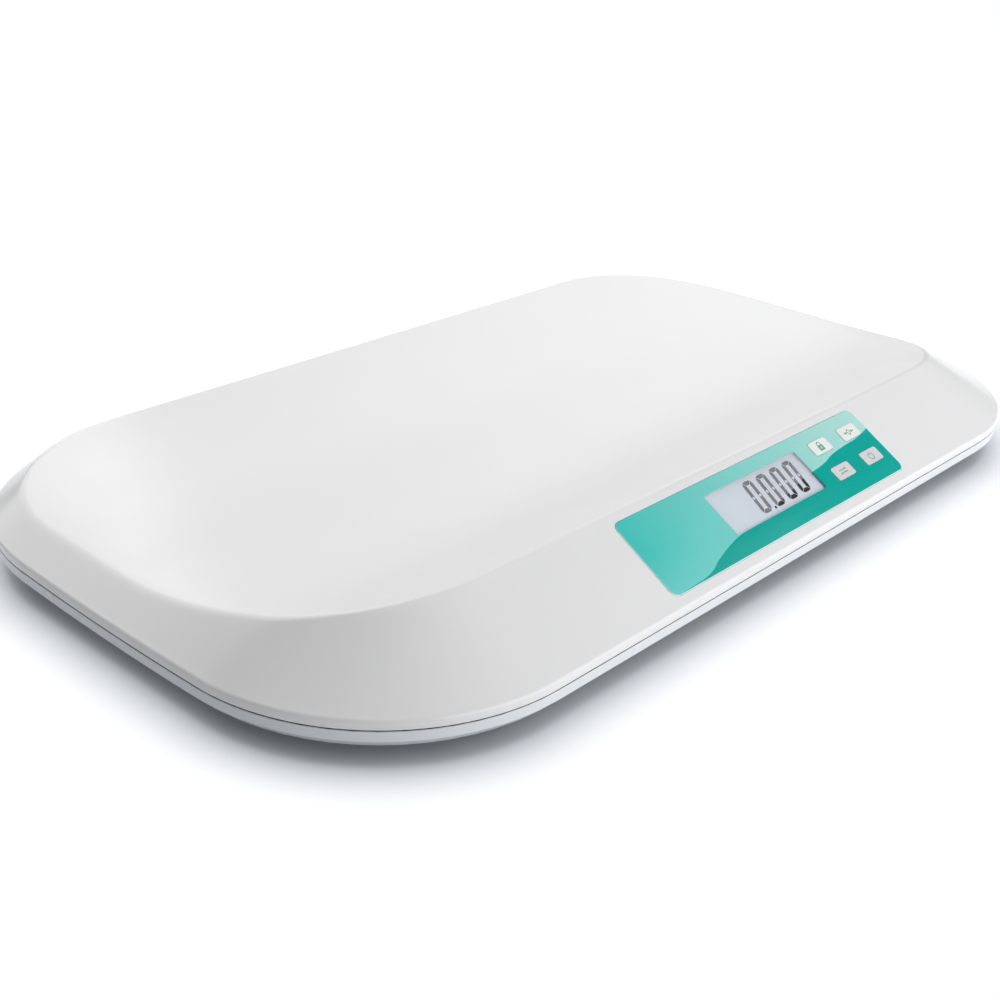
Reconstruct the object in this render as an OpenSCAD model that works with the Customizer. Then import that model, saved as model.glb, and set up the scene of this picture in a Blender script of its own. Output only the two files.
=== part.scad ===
// Digital baby weighing scale: a moulded tray with a display slope, on a base pan
// that stands on four load-cell feet. Millimetres, +Z up, the floor at z = 0,
// the origin under the middle of the body, X along the tray, -Y the display side.

/* [Body] */
// Length of the body over its two bowed ends
body_l = 550; // [500:1:620]
// Width of the body, front to back
body_w = 315; // [290:1:350]
// Radius of the corners in plan
corner_r = 99; // [80:1:110]
// Radius of the slightly bowed ends in plan
end_bow_r = 1730; // [1200:10:3000]
// Wall of the tray, measured straight down
wall_t = 2.6; // [2.2:0.1:3]
// Gap between the floor and the underside
ground_gap = 9; // [8.5:0.1:12]
// Height of the slanted edge under the base
chamfer_h = 5; // [4:0.1:6]
// Height of the upright band of the base
band_h = 5; // [4:0.1:7]
// Open joint between base and tray
parting_gap = 0.4; // [0.3:0.1:0.8]
// Thickness of the base floor
floor_t = 2.5; // [2:0.1:3]

/* [Tray] */
// Height of the upright band round the tray's rim
rim_h = 4.1; // [3.5:0.1:5]
// Rounding at the top of that band
rim_edge = 0.5; // [0.3:0.1:0.8]
// Slope of the display side
front_slope = 29.7; // [28:0.1:31]
// Slope of the ends
end_slope = 26; // [24:0.5:30]
// Slope of the back
back_slope = 40; // [36:0.5:44]
// Front crest above the parting line
front_crest_h = 30; // [28:0.1:32]
// Back crest above the parting line
back_crest_h = 16.9; // [15:0.1:18]
// Lowest line of the dish above the parting line
dish_h = 12.3; // [11:0.1:13]
// Slope of the dish where it climbs to the front crest
dish_front_slope = 13.2; // [12:0.1:15]
// Radius of the dish below the front crest
dish_front_r = 400; // [300:10:450]
// Radius of the dish below the back crest
dish_back_r = 600; // [500:10:700]
// Height over which the crest is rounded off
crest_blend = 1.4; // [0.8:0.1:2]
// Thickness of the tray's stiffening ribs
rib_t = 1.6; // [1.2:0.1:2]
// Depth of the tray's stiffening ribs
tray_rib_h = 6; // [4:0.5:8]

/* [Display panel] */
// Width of the glossy panel
panel_w = 195; // [185:1:200]
// Height of the glossy panel, along the slope
panel_h = 42.2; // [41:0.1:44]
// Distance of the panel from the rim's edge, along the slope
panel_s = 5; // [4:0.1:6]
// Sideways place of the panel's middle from the body's middle
panel_x = 2.5; // [0:0.5:5]
// Thickness of the glossy panel
panel_t = 1; // [0.8:0.1:1.2]
// How far the panel stands proud of the slope
panel_proud = 0.2; // [0.1:0.05:0.3]
// Radius of the panel's corners
panel_r = 4.5; // [3:0.5:6]
// Width of the display window
lens_w = 75; // [70:1:78]
// Height of the display window
lens_h = 24; // [22:0.5:26]
// Distance of the window's middle from the panel's right end
lens_in = 98.5; // [97.5:0.5:101.5]
// Height of the window's middle above the panel's lower edge
lens_s = 22.9; // [21:0.1:23]

/* [Keys] */
// Width of a key
key_w = 15.4; // [14:0.1:16]
// Height of a key
key_h = 7.9; // [7:0.1:9]
// Radius of a key's corners
key_r = 1.3; // [0.8:0.1:2]
// How far a key stands above the slope
key_proud = 0.5; // [0.4:0.05:0.8]
// Distance of the inner pair of keys from the panel's right end
key_in = 41.8; // [40.5:0.1:42.5]
// Distance between the two columns of keys
key_pitch_x = 26.8; // [26:0.1:28]
// Height of the lower row above the panel's lower edge
key_s = 14; // [12:0.1:15]
// Distance between the two rows of keys
key_pitch_s = 16.8; // [15:0.1:18]
// Press travel of a key
key_travel = 0.4; // [0.2:0.05:0.5]
// Gap all round a key
key_gap = 0.25; // [0.2:0.05:0.4]

/* [Electronics] */
// Thickness of the display glass
lcd_t = 2.8; // [2.4:0.1:3]
// Thickness of the backlight
backlight_t = 4.5; // [4.2:0.1:4.8]
// Thickness of the circuit board
board_t = 1.6; // [1.2:0.1:2]
// How far the circuit board reaches past each end of the panel
board_over = 4.5; // [3.5:0.5:7.5]
// Height of the circuit board, along the slope
board_h = 38; // [36:0.5:39]
// Side of a key switch
switch_w = 6; // [5.5:0.1:6.5]
// Diameter of a switch plunger
plunger_d = 3.4; // [3:0.1:3.6]
// Diameter of a lead
lead_d = 2; // [1.6:0.1:2.2]

/* [Feet and load cells] */
// Distance of the feet from the ends of the body
foot_end_in = 70; // [65:1:80]
// Distance of the feet from its long sides
foot_side_in = 65.5; // [60:0.5:70]
// Diameter of a foot
foot_d = 40; // [36:1:44]
// Diameter of a foot's rubber pad
pad_d = 36; // [32:0.5:36.5]
// Thickness of a rubber pad
pad_t = 2.6; // [2.2:0.1:3]
// Depth of the recess that holds the pad
pad_seat = 1; // [0.6:0.1:1.2]
// Diameter of a foot's neck
neck_d = 18; // [16:0.5:19]
// Travel of a foot as its load cell bends
foot_travel = 0.4; // [0.2:0.1:0.6]
// Thickness of a load-cell plate
cell_t = 2; // [1.6:0.1:2.4]
// Length of a load-cell plate
cell_l = 36; // [34:0.5:40]
// Width of a load-cell plate
cell_w = 30; // [29:0.5:31]
// Width of its bending tongue
tongue_w = 12; // [10:0.5:13]
// Width of the slot round the tongue
tongue_slot = 2.4; // [2:0.1:2.6]
// Height of the seat under a load cell
cell_seat = 1; // [0.8:0.1:1.6]
// Thickness of a clamp over a load cell
clamp_t = 2.5; // [2:0.1:3.5]

/* [Batteries] */
// Diameter of a battery
cell_d = 10.5; // [10:0.1:10.5]
// Length of a battery
battery_l = 44.5; // [43:0.1:45]
// Distance from one battery to the next
battery_pitch = 11.2; // [11.1:0.1:11.4]
// Front and back place of the battery bay
bay_y = 40; // [36:1:44]
// Inner length of the battery bay
bay_l = 53; // [52:0.5:54]
// Inner width of the battery bay
bay_w = 46; // [45.5:0.5:47]
// Wall of the battery bay
bay_wall = 1.8; // [1.5:0.1:2]
// Thickness of the battery door
door_t = 2; // [1.8:0.1:2.2]
// How far the battery door reaches past the bay
door_margin = 3.5; // [3:0.1:4]

/* [Screws] */
// Diameter of a casing screw
screw_d = 2.9; // [2.5:0.1:3]
// Head of a casing screw
screw_head_d = 5.6; // [5:0.1:6]
// Height of a casing screw's head
screw_head_h = 2; // [1.6:0.1:2.2]
// Diameter of a small screw
small_screw_d = 2.2; // [2:0.1:2.4]
// Head of a small screw
small_head_d = 4.2; // [3.8:0.1:4.4]
// Sideways place of the four long-side screws
side_screw_x = 120; // [116:1:135]
// Distance of the front screws from the front
front_screw_in = 57.5; // [54:0.5:61]
// Distance of the back screws from the back
back_screw_in = 39.5; // [36:0.5:45]
// Distance of the end screws from the ends
end_screw_in = 37; // [31:1:43]
// Front and back place of the end screws
end_screw_y = 38; // [32:1:42]

/* [Hidden] */

// Levels above the floor
floor_z = ground_gap + floor_t;
band_z = ground_gap + chamfer_h;
parting_z = band_z + band_h;
rim_z = parting_z + rim_h;
post_h = 4.5;
post_z = floor_z + post_h;

// Fits
seat_gap = 0.2;
lcd_gap = 0.1;
screw_gap = 0.05;
pocket_gap = 0.2;
loose_gap = 0.2;
pilot_room = 0.5;
cut = 0.5;
round_fn = 48;

// Lip of the base that locates the tray
lip_t = 1.5;
lip_h = 2.4;
lip_gap = 0.2;
lip_d0 = wall_t + lip_gap;
lip_d1 = lip_d0 + lip_t;

// ---------- plan outline: straight sides, round corners, bowed ends ----------
half_l = body_l / 2;
half_w = body_w / 2;
corner_y = half_w - corner_r;
corner_x = half_l - end_bow_r
    + sqrt(pow(end_bow_r - corner_r, 2) - pow(corner_y, 2));
bow_angle = asin(corner_y / (end_bow_r - corner_r));
end_steps = 4;
corner_steps = 16;
side_steps = 2;

function bow_point(a) =
    [half_l - end_bow_r + end_bow_r * cos(a), end_bow_r * sin(a), cos(a), sin(a)];
function corner_point(a) =
    [corner_x + corner_r * cos(a), corner_y + corner_r * sin(a), cos(a), sin(a)];

// A quarter of the outline, from the middle of an end to the middle of a side:
// each entry is a point and its outward normal
quarter = [
    for (i = [0 : end_steps - 1]) bow_point(bow_angle * i / end_steps),
    for (i = [0 : corner_steps])
        corner_point(bow_angle + (90 - bow_angle) * i / corner_steps),
    for (i = [1 : side_steps]) [corner_x * (1 - i / side_steps), half_w, 0, 1]];
last = len(quarter) - 1;

function flip(p, sx, sy) = [p[0] * sx, p[1] * sy, p[2] * sx, p[3] * sy];

outline = [
    for (i = [0 : last]) quarter[i],
    for (i = [last - 1 : -1 : 0]) flip(quarter[i], -1, 1),
    for (i = [1 : last]) flip(quarter[i], -1, -1),
    for (i = [last - 1 : -1 : 1]) flip(quarter[i], 1, -1)];

// ---------- the tray's surface, as heights over the plan ----------
function eased(t) = (1 - cos(180 * min(max(t, 0), 1))) / 2;

// Slope of the outer wall for a wall that faces (nx, ny)
function wall_slope(ny) = ny < 0
    ? end_slope + (front_slope - end_slope) * eased(-ny)
    : end_slope + (back_slope - end_slope) * eased(ny);

// Rise of a dish side that starts level, curves up at radius r and then runs straight
function side_rise(u, r, a) = u <= 0 ? 0
    : u < r * sin(a) ? r - sqrt(r * r - u * u)
    : r * (1 - cos(a)) + (u - r * sin(a)) * tan(a);

front_crest_in = rim_edge + (front_crest_h - rim_h) / tan(front_slope);
front_crest_y = -half_w + front_crest_in;
front_run = dish_front_r * sin(dish_front_slope)
    + (front_crest_h - dish_h - dish_front_r * (1 - cos(dish_front_slope)))
    / tan(dish_front_slope);
dish_y0 = front_crest_y + front_run;
back_crest_in = rim_edge + (back_crest_h - rim_h) / tan(back_slope);
back_rise = back_crest_h - dish_h;
back_run = sqrt(2 * dish_back_r * back_rise - back_rise * back_rise);
dish_y1 = half_w - back_crest_in - back_run;
back_angle = 8;

function dish_z(y) = parting_z + dish_h
    + side_rise(dish_y0 - y, dish_front_r, dish_front_slope)
    + side_rise(y - dish_y1, dish_back_r, back_angle);

function wall_z(p, d) = rim_z + max(d - rim_edge, 0) * tan(wall_slope(p[3]));

function inset(p, d) = [p[0] - p[2] * d, p[1] - p[3] * d];

function blended(a, b) = min(a, b)
    - pow(max(crest_blend - abs(a - b), 0), 2) / (4 * crest_blend);

function skin_z(p, d) = blended(wall_z(p, d), dish_z(inset(p, d)[1]));

// Inset at which the outer wall meets the dish, found by halving
function crest_in(p, lo = wall_t, hi = half_w / 2, n = 24) = n == 0 ? (lo + hi) / 2
    : wall_z(p, (lo + hi) / 2) < dish_z(inset(p, (lo + hi) / 2)[1])
        ? crest_in(p, (lo + hi) / 2, hi, n - 1)
        : crest_in(p, lo, (lo + hi) / 2, n - 1);
crests = [for (p = outline) crest_in(p)];

// One ring of the skin at inset d, lowered by drop
function at_inset(p, d, drop) = [inset(p, d)[0], inset(p, d)[1], skin_z(p, d) - drop];
function wall_ring(d, z) = [for (p = outline) [inset(p, d)[0], inset(p, d)[1], z]];
function crest_ring(off, drop) =
    [for (i = [0 : len(outline) - 1]) at_inset(outline[i], crests[i] + off, drop)];
// A ring inside the crest, drawn towards the middle by the share t
function dish_ring(t, drop) = [
    for (i = [0 : len(outline) - 1])
        let (q = inset(outline[i], crests[i] + crest_off[0]))
        [q[0] * t, q[1] * t, dish_z(q[1] * t) - drop]];

crest_off = [2.2, 1.3, 0.45, -0.45, -1.3, -2.2];
inmost = len(crest_off) - 1;
dish_shares = [0.15, 0.35, 0.55, 0.7, 0.82, 0.92];
inner_shares = [0.35, 0.6, 0.8, 0.92];

// Closed solid through a stack of rings: from the first middle point, out over the
// rings and back in to the second middle point
module ring_loft(rings, first, second) {
    n = len(rings[0]);
    m = len(rings);
    end = 1 + n * m;
    polyhedron(
        points = concat([first], [for (r = rings) each r], [second]),
        faces = [
            for (i = [0 : n - 1]) [0, 1 + (i + 1) % n, 1 + i],
            for (k = [0 : m - 2], i = [0 : n - 1])
                let (a = 1 + k * n + i, b = 1 + k * n + (i + 1) % n)
                each [[a, b, b + n], [a, b + n, a + n]],
            for (i = [0 : n - 1])
                [1 + (m - 1) * n + i, 1 + (m - 1) * n + (i + 1) % n, end]],
        convexity = 10);
}

// ---------- frames of reference ----------
// The display slope: x along the body, y up the slope from the rim, z out of it
module on_slope() {
    translate([0, -half_w + rim_edge, rim_z]) rotate([front_slope, 0, 0]) children();
}
module on_panel() {
    on_slope() translate([panel_x, panel_s, 0]) children();
}
// Floor point of the slope's frame, for what runs into it from below
function slope_y(s, n) =
    -half_w + rim_edge + s * cos(front_slope) - n * sin(front_slope);
function slope_z(s, n) = rim_z + s * sin(front_slope) + n * cos(front_slope);

module rounded(w, h, r) {
    square([w - 2 * r, h], center = true);
    square([w, h - 2 * r], center = true);
    for (x = [-1, 1], y = [-1, 1])
        translate([x * (w / 2 - r), y * (h / 2 - r)]) circle(r = r, $fn = round_fn);
}
module plate(w, h, r, z0, z1) {
    translate([0, 0, z0]) linear_extrude(z1 - z0) rounded(w, h, r);
}
module block(w, h, z0, z1) {
    translate([-w / 2, -h / 2, z0]) cube([w, h, z1 - z0]);
}
module rod(d, z0, z1) {
    translate([0, 0, z0]) cylinder(d = d, h = z1 - z0, $fn = round_fn);
}

// ---------- depths below the display slope ----------
wall_n = wall_t * cos(front_slope);
lcd_n = panel_proud - panel_t - lcd_gap;
backlight_n = lcd_n - lcd_t;
board_n = backlight_n - backlight_t;
board_back_n = board_n - board_t;
board_s = 22.5;
lcd_rim = 3;
lcd_step = 1.5;
lcd_margin = 0.3;
lens_x = panel_w / 2 - lens_in;
key_x = panel_w / 2 - key_in;
board_w = panel_w + 2 * board_over;
lcd_w = lens_w + 2 * lcd_rim;
lcd_h = lens_h + 2 * lcd_rim;
frame_wall = 2.5;
frame_r = 1.5;
key_flange = 1.1;
flange_t = 1;
flange_gap = 0.3;
flange_n = -wall_n - flange_gap;
switch_t = 3.4;
switch_h = board_n + switch_t;
plunger_out = key_travel + 0.3;
plunger_in = 1.3;
plunger_room = 0.7;
plunger_n = switch_h + plunger_out;
backlight_rim = 2;
strip_t = 2;
strip_in = 3;

// Parts on the back of the board: places along and up it from its middle, sizes
sealed_chip_x = -62;
sealed_chip_s = 2;
sealed_chip_d = 16;
sealed_chip_top_d = 11;
sealed_chip_t = 1.8;
amplifier_x = 40;
amplifier_s = -6;
amplifier_w = 10;
amplifier_h = 6;
amplifier_t = 1.6;
memory_x = -34;
memory_s = -8;
memory_w = 5;
memory_h = 4;
memory_t = 1.5;
capacitor_x = 56;
capacitor_s = 6;
capacitor_d = 5;
capacitor_t = 5;
buzzer_x = 84;
buzzer_s = -4;
buzzer_d = 12;
buzzer_t = 4.5;

key_places = [
    [key_x, key_s + key_pitch_s], [key_x + key_pitch_x, key_s + key_pitch_s],
    [key_x, key_s], [key_x + key_pitch_x, key_s]];
module at_key(i) {
    on_panel() translate([key_places[i][0], key_places[i][1], 0]) children();
}
module at_lens() {
    on_panel() translate([lens_x, lens_s, 0]) children();
}

// Screws of the circuit board, from its middle
board_edge = 5;
board_boss_d = 6;
board_boss_gap = 1;
board_screw_l = 4;
small_head_h = 1.6;
small_slot = 0.7;
board_screw_places = [
    for (x = [-1, 1], y = [-1, 1])
        [x * (board_w / 2 - board_edge), board_s + y * (board_h / 2 - board_edge)],
    [lens_x - lcd_w / 2 - frame_wall - board_boss_d / 2 - board_boss_gap, board_s],
    [key_x + key_pitch_x / 2, board_s]];
module at_board_screws() {
    for (p = board_screw_places) on_panel() translate([p[0], p[1], 0]) children();
}

// ---------- places of the feet and the casing screws ----------
foot_x = half_l - foot_end_in;
foot_y = half_w - foot_side_in;
corners = [[-1, -1], [1, -1], [-1, 1], [1, 1]];
module at_corner(i) {
    translate([corners[i][0] * foot_x, corners[i][1] * foot_y, 0])
        scale_side(corners[i][0]) children();
}
// The left pair faces the right way round, so that all leads run inwards
module scale_side(side) {
    if (side < 0) children();
    else mirror([1, 0, 0]) children();
}
screw_places = [
    for (x = [-1, 1]) [x * side_screw_x, front_screw_in - half_w],
    for (x = [-1, 1]) [x * side_screw_x, half_w - back_screw_in],
    for (x = [-1, 1], y = [-1, 1]) [x * (half_l - end_screw_in), y * end_screw_y]];
boss_d = 8;
screw_l = 8.5;
screw_head_gap = 0.5;
screw_slot = 0.8;
screw_seat_z = floor_z + 1;

// Levels of a foot
cell_z = floor_z + cell_seat;
cell_top_z = cell_z + cell_t;
clamp_z = cell_top_z + clamp_t;
pad_top_z = pad_t;
cup_z = pad_t - pad_seat;
cup_gap = 1.6;
cup_top_z = ground_gap - foot_travel - cup_gap;
cup_edge = 0.6;
cup_top_edge = 1.6;
tongue_boss_d = tongue_w - 1;
tongue_boss_h = foot_travel + 0.6;
pad_gap = 0.2;
pad_edge = 0.8;
pad_groove_w = 1.6;
pad_groove_h = 0.6;
foot_screw_l = 7.5;
clamp_screw_y = cell_w / 2 + 6.5;
clamp_l = 30;
clamp_r = 3;
clamp_rim = 4;
clamp_window_r = 2;
cell_rim = 7;
seat_w = 4;
neck_gap = 0.6;

// ---------- battery bay ----------
door_gap = 0.3;
door_side = 2;
door_l = bay_l + 2 * door_margin;
door_w = bay_w + 2 * door_side;
door_z = ground_gap + door_t;
door_clear = 0.1;
frame_t = 2;
frame_z = door_z + frame_t;
battery_gap = 0.3;
bay_room = 0.5;
bay_top_z = door_z + battery_gap + cell_d + bay_room;
hinge_x = -door_l / 2;
tab_w = 8;
tab_reach = 2.5;
tab_t = 1;
tab_lift = 0.4;
tab_room = 0.5;
tab_root = 2;
tab_y = door_w / 4;
latch_in = 7;
latch_l = 10;
latch_w = 14;
latch_slit = 1;
latch_pad_in = 2;
latch_pad_l = 5;
latch_pad_w = 9;
latch_pad_r = 1;
latch_pad_h = 0.7;
grip_in = 18;
grip_pitch = 1.8;
grip_l = 16;
grip_w = 0.8;
grip_h = 0.4;
battery_z = door_z + battery_gap + cell_d / 2;
plate_t = 0.4;
plate_w = 8;
nub_l = 0.8;
nub_d = 3.8;
spring_base_d = 7.5;
spring_tip_d = 4.5;
spring_wire = 0.75;
module at_bay() {
    translate([0, bay_y, 0]) children();
}

// ---------- leads ----------
lead_z = cell_z + cell_t / 2;
battery_lead_z = frame_z + lead_d / 2 + seat_gap;
lead_bend = 5;
connector_in = 8;
connector_s = board_s + board_h / 2 - connector_in;
connector_l = 60;
connector_h = 8;
connector_t = 5;
lead_pitch = 12;
lead_y = slope_y(panel_s + connector_s, board_back_n - connector_t);
lead_top_z = slope_z(panel_s + connector_s, board_back_n - connector_t / 2);
lead_hole = 0.1;

// =================== the tray ===================
module tray_skin() {
    rings = concat(
        [for (t = dish_shares) dish_ring(t, 0)],
        [for (off = crest_off) crest_ring(off, 0)],
        [wall_ring(rim_edge, rim_z), wall_ring(0, rim_z - rim_edge),
         wall_ring(0, parting_z), wall_ring(wall_t, parting_z)],
        [[for (p = outline) at_inset(p, wall_t, wall_t)]],
        [crest_ring(crest_off[inmost], wall_t), crest_ring(crest_off[0], wall_t)],
        [for (i = [len(inner_shares) - 1 : -1 : 0]) dish_ring(inner_shares[i], wall_t)]);
    ring_loft(rings, [0, 0, dish_z(0)], [0, 0, dish_z(0) - wall_t]);
}
// Ribs under the dish: two along it and five across it, moulded into its underside
rib_sink = wall_t / 2;
rib_end_in = 79;
rib_half = half_l - rib_end_in;
rib_front_in = 75.5;
rib_back_in = 57.5;
rib_front = rib_front_in - half_w;
rib_back = half_w - rib_back_in;
rib_row_in = 40;
rib_rows = [rib_front + rib_row_in, rib_back - rib_row_in];
rib_steps = 14;
bay_room_out = 1;
module tray_ribs() {
    difference() {
        rib_grid();
        at_bay() block(bay_l + 2 * (bay_wall + bay_room_out),
            bay_w + 2 * (bay_wall + bay_room_out),
            ground_gap, bay_top_z + bay_wall + bay_room);
    }
}
module rib_grid() {
    for (y = rib_rows)
        translate([-rib_half, y - rib_t / 2, dish_z(y) - wall_t - tray_rib_h])
            cube([2 * rib_half, rib_t, tray_rib_h + wall_t - rib_sink]);
    ys = [for (i = [0 : rib_steps]) rib_front + (rib_back - rib_front) * i / rib_steps];
    for (x = [-2, -1, 0, 1, 2])
        translate([x * rib_half / 2 - rib_t / 2, 0, 0])
            rotate([90, 0, 90]) linear_extrude(rib_t)
                polygon(concat(
                    [for (y = ys) [y, dish_z(y) - rib_sink]],
                    [for (i = [rib_steps : -1 : 0])
                        [ys[i], dish_z(ys[i]) - wall_t - tray_rib_h]]));
}
module tray() {
    color([0.93, 0.93, 0.94]) difference() {
        union() {
            tray_skin();
            tray_ribs();
            for (p = screw_places)
                translate([p[0], p[1], 0])
                    rod(boss_d, post_z, dish_z(p[1]) - rib_sink);
            at_board_screws() rod(board_boss_d, board_n, -wall_n / 2);
        }
        on_panel() translate([0, panel_h / 2, 0])
            plate(panel_w + 2 * pocket_gap, panel_h + 2 * pocket_gap,
                panel_r + pocket_gap, panel_proud - panel_t, cut + panel_proud);
        at_lens() block(lcd_w + 2 * lcd_margin, lcd_h + 2 * lcd_margin,
            -wall_n - cut, 0);
        for (i = [0 : 3])
            at_key(i) plate(key_w + 2 * key_gap, key_h + 2 * key_gap,
                key_r + key_gap, -wall_n - cut, 0);
        for (p = screw_places)
            translate([p[0], p[1], 0])
                rod(screw_d + 2 * screw_gap, post_z - cut, post_z + screw_l + pilot_room);
        at_board_screws()
            rod(small_screw_d + 2 * screw_gap, board_n - cut,
                board_n + board_screw_l + pilot_room);
    }
}

// =================== the base pan ===================
inner_d = lip_d1;
inner_chamfer_z = ground_gap + 1.4 * floor_t + chamfer_h - inner_d;
pan_step = 0.4;
module pan_skin() {
    inner_foot_d = inner_d + inner_chamfer_z - floor_z;
    rings = [
        wall_ring(inner_foot_d, floor_z), wall_ring(inner_d, inner_chamfer_z),
        wall_ring(inner_d, parting_z + lip_h), wall_ring(lip_d0, parting_z + lip_h),
        wall_ring(lip_d0, parting_z - parting_gap),
        wall_ring(pan_step, parting_z - parting_gap),
        wall_ring(0, parting_z - parting_gap - pan_step),
        wall_ring(0, band_z + pan_step), wall_ring(pan_step, band_z - pan_step),
        wall_ring(chamfer_h - pan_step, ground_gap + pan_step),
        wall_ring(chamfer_h + pan_step, ground_gap)];
    ring_loft(rings, [0, 0, floor_z], [0, 0, ground_gap]);
}
cell_rib_gap = 27;
bay_rib_front_gap = 45;
bay_rib_back_gap = 19;
pan_rib_out = foot_x - cell_l / 2 - cell_rib_gap;
pan_rib_x = [-pan_rib_out, -50, 50, pan_rib_out];
pan_rib_y = [bay_y - bay_w / 2 - bay_rib_front_gap,
    bay_y + bay_w / 2 + bay_rib_back_gap];
module pan_ribs() {
    for (x = pan_rib_x)
        translate([x - rib_t / 2, pan_rib_y[0], floor_z - cut])
            cube([rib_t, pan_rib_y[1] - pan_rib_y[0], post_z - floor_z + cut]);
    for (y = pan_rib_y)
        translate([pan_rib_x[0], y - rib_t / 2, floor_z - cut])
            cube([pan_rib_x[3] - pan_rib_x[0], rib_t, post_z - floor_z + cut]);
}
module bay_outside() {
    at_bay() {
        block(door_l + 2 * bay_wall, door_w + 2 * bay_wall, ground_gap, frame_z);
        block(bay_l + 2 * bay_wall, bay_w + 2 * bay_wall, ground_gap,
            bay_top_z + bay_wall);
    }
}
module bay_inside() {
    at_bay() {
        block(door_l + 2 * door_gap, door_w + 2 * door_gap, ground_gap - cut,
            door_z + door_clear);
        block(bay_l, bay_w, ground_gap - cut, bay_top_z);
        for (y = [-1, 1])
            translate([hinge_x, y * tab_y, 0])
                translate([-tab_reach - tab_room, -tab_w / 2 - door_gap,
                    door_z - tab_t - door_clear])
                    cube([tab_reach + tab_room + door_margin + bay_wall - door_gap,
                        tab_w + 2 * door_gap, frame_z - door_z + tab_t + 2 * cut]);
    }
}
module base_pan() {
    color([0.86, 0.87, 0.88]) difference() {
        union() {
            pan_skin();
            pan_ribs();
            bay_outside();
            for (p = screw_places)
                translate([p[0], p[1], 0]) rod(boss_d + 1, floor_z - cut, post_z);
            for (i = [0 : 3])
                at_corner(i) {
                    for (y = [-1, 1]) {
                        translate([0, y * clamp_screw_y, 0])
                            rod(boss_d, floor_z - cut, cell_top_z);
                        translate([0, y * (cell_w - seat_w) / 2, 0])
                            block(cell_l, seat_w, floor_z - cut, cell_z);
                    }
                }
        }
        bay_inside();
        for (p = screw_places)
            translate([p[0], p[1], 0]) {
                rod(screw_head_d + 2 * screw_head_gap, ground_gap - cut, screw_seat_z);
                rod(screw_d + 2 * loose_gap, screw_seat_z - cut, post_z + cut);
            }
        for (i = [0 : 3])
            at_corner(i) {
                rod(neck_d + 2 * neck_gap, ground_gap - cut, floor_z + cut);
                for (y = [-1, 1])
                    translate([0, y * clamp_screw_y, 0])
                        rod(small_screw_d + 2 * screw_gap, floor_z, cell_top_z + cut);
            }
        translate([-lead_d, pan_rib_y[0] - rib_t, battery_lead_z - lead_d])
            cube([2 * lead_d, 2 * rib_t, post_z]);
    }
}

// =================== panel, display and board ===================
module panel_overlay() {
    color([0.08, 0.68, 0.64]) difference() {
        on_panel() translate([0, panel_h / 2, 0])
            plate(panel_w, panel_h, panel_r, panel_proud - panel_t, panel_proud);
        at_lens() plate(lens_w + seat_gap, lens_h + seat_gap, key_r,
            -panel_t, panel_proud + cut);
        for (i = [0 : 3])
            at_key(i) plate(key_w + 2 * key_gap, key_h + 2 * key_gap,
                key_r + key_gap, -panel_t, panel_proud + cut);
    }
}
module display_lens() {
    color([0.8, 0.86, 0.9]) at_lens()
        plate(lens_w, lens_h, key_r, panel_proud - panel_t, panel_proud);
}
module lcd_glass() {
    color([0.75, 0.8, 0.78]) at_lens() {
        block(lcd_w, lcd_h, lcd_n - lcd_t / 2, lcd_n);
        block(lcd_w, lcd_h - 2 * lcd_step, lcd_n - lcd_t, lcd_n - lcd_t / 2);
    }
}
module lcd_frame() {
    color([0.9, 0.9, 0.9]) at_lens() difference() {
        plate(lcd_w + 2 * frame_wall, lcd_h + 2 * frame_wall, frame_r, board_n,
            -wall_n - seat_gap);
        block(lcd_w + 2 * seat_gap, lcd_h + 2 * seat_gap, board_n - cut, cut);
    }
}
module backlight() {
    color([0.95, 0.95, 0.9]) at_lens()
        block(lcd_w - 2 * backlight_rim, lcd_h - 2 * (strip_in + strip_t) + 1,
            board_n, backlight_n);
}
module contact_strips() {
    color([0.85, 0.6, 0.65]) at_lens()
        for (y = [-1, 1])
            translate([0, y * (lcd_h / 2 - strip_in), 0])
                block(lcd_w - 2 * backlight_rim, strip_t, board_n, backlight_n);
}
module main_board() {
    color([0.1, 0.35, 0.2]) difference() {
        on_panel() translate([0, board_s, 0])
            block(board_w, board_h, board_back_n, board_n);
        at_board_screws()
            rod(small_screw_d + 2 * loose_gap, board_back_n - cut, board_n + cut);
    }
}
module board_chips() {
    color([0.1, 0.1, 0.12]) on_panel() translate([0, board_s, board_back_n]) {
        translate([sealed_chip_x, sealed_chip_s, -sealed_chip_t])
            cylinder(d1 = sealed_chip_top_d, d2 = sealed_chip_d, h = sealed_chip_t,
                $fn = round_fn);
        translate([amplifier_x, amplifier_s, 0])
            block(amplifier_w, amplifier_h, -amplifier_t, 0);
        translate([memory_x, memory_s, 0]) block(memory_w, memory_h, -memory_t, 0);
        translate([capacitor_x, capacitor_s, 0]) rod(capacitor_d, -capacitor_t, 0);
        translate([buzzer_x, buzzer_s, 0]) rod(buzzer_d, -buzzer_t, 0);
    }
}
module board_connector() {
    color([0.92, 0.9, 0.84]) difference() {
        on_panel() translate([0, connector_s, 0])
            block(connector_l, connector_h, board_back_n - connector_t, board_back_n);
        for (i = [-2 : 2])
            translate([i * lead_pitch, lead_y, 0])
                rod(lead_d + 2 * lead_hole, floor_z, lead_top_z);
    }
}
module board_screws() {
    color([0.75, 0.75, 0.78]) at_board_screws() {
        rod(small_screw_d, board_back_n - cut, board_n + board_screw_l);
        difference() {
            rod(small_head_d, board_back_n - small_head_h, board_back_n);
            cross_slot(small_head_d, board_back_n - small_head_h, small_slot);
        }
    }
}
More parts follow.
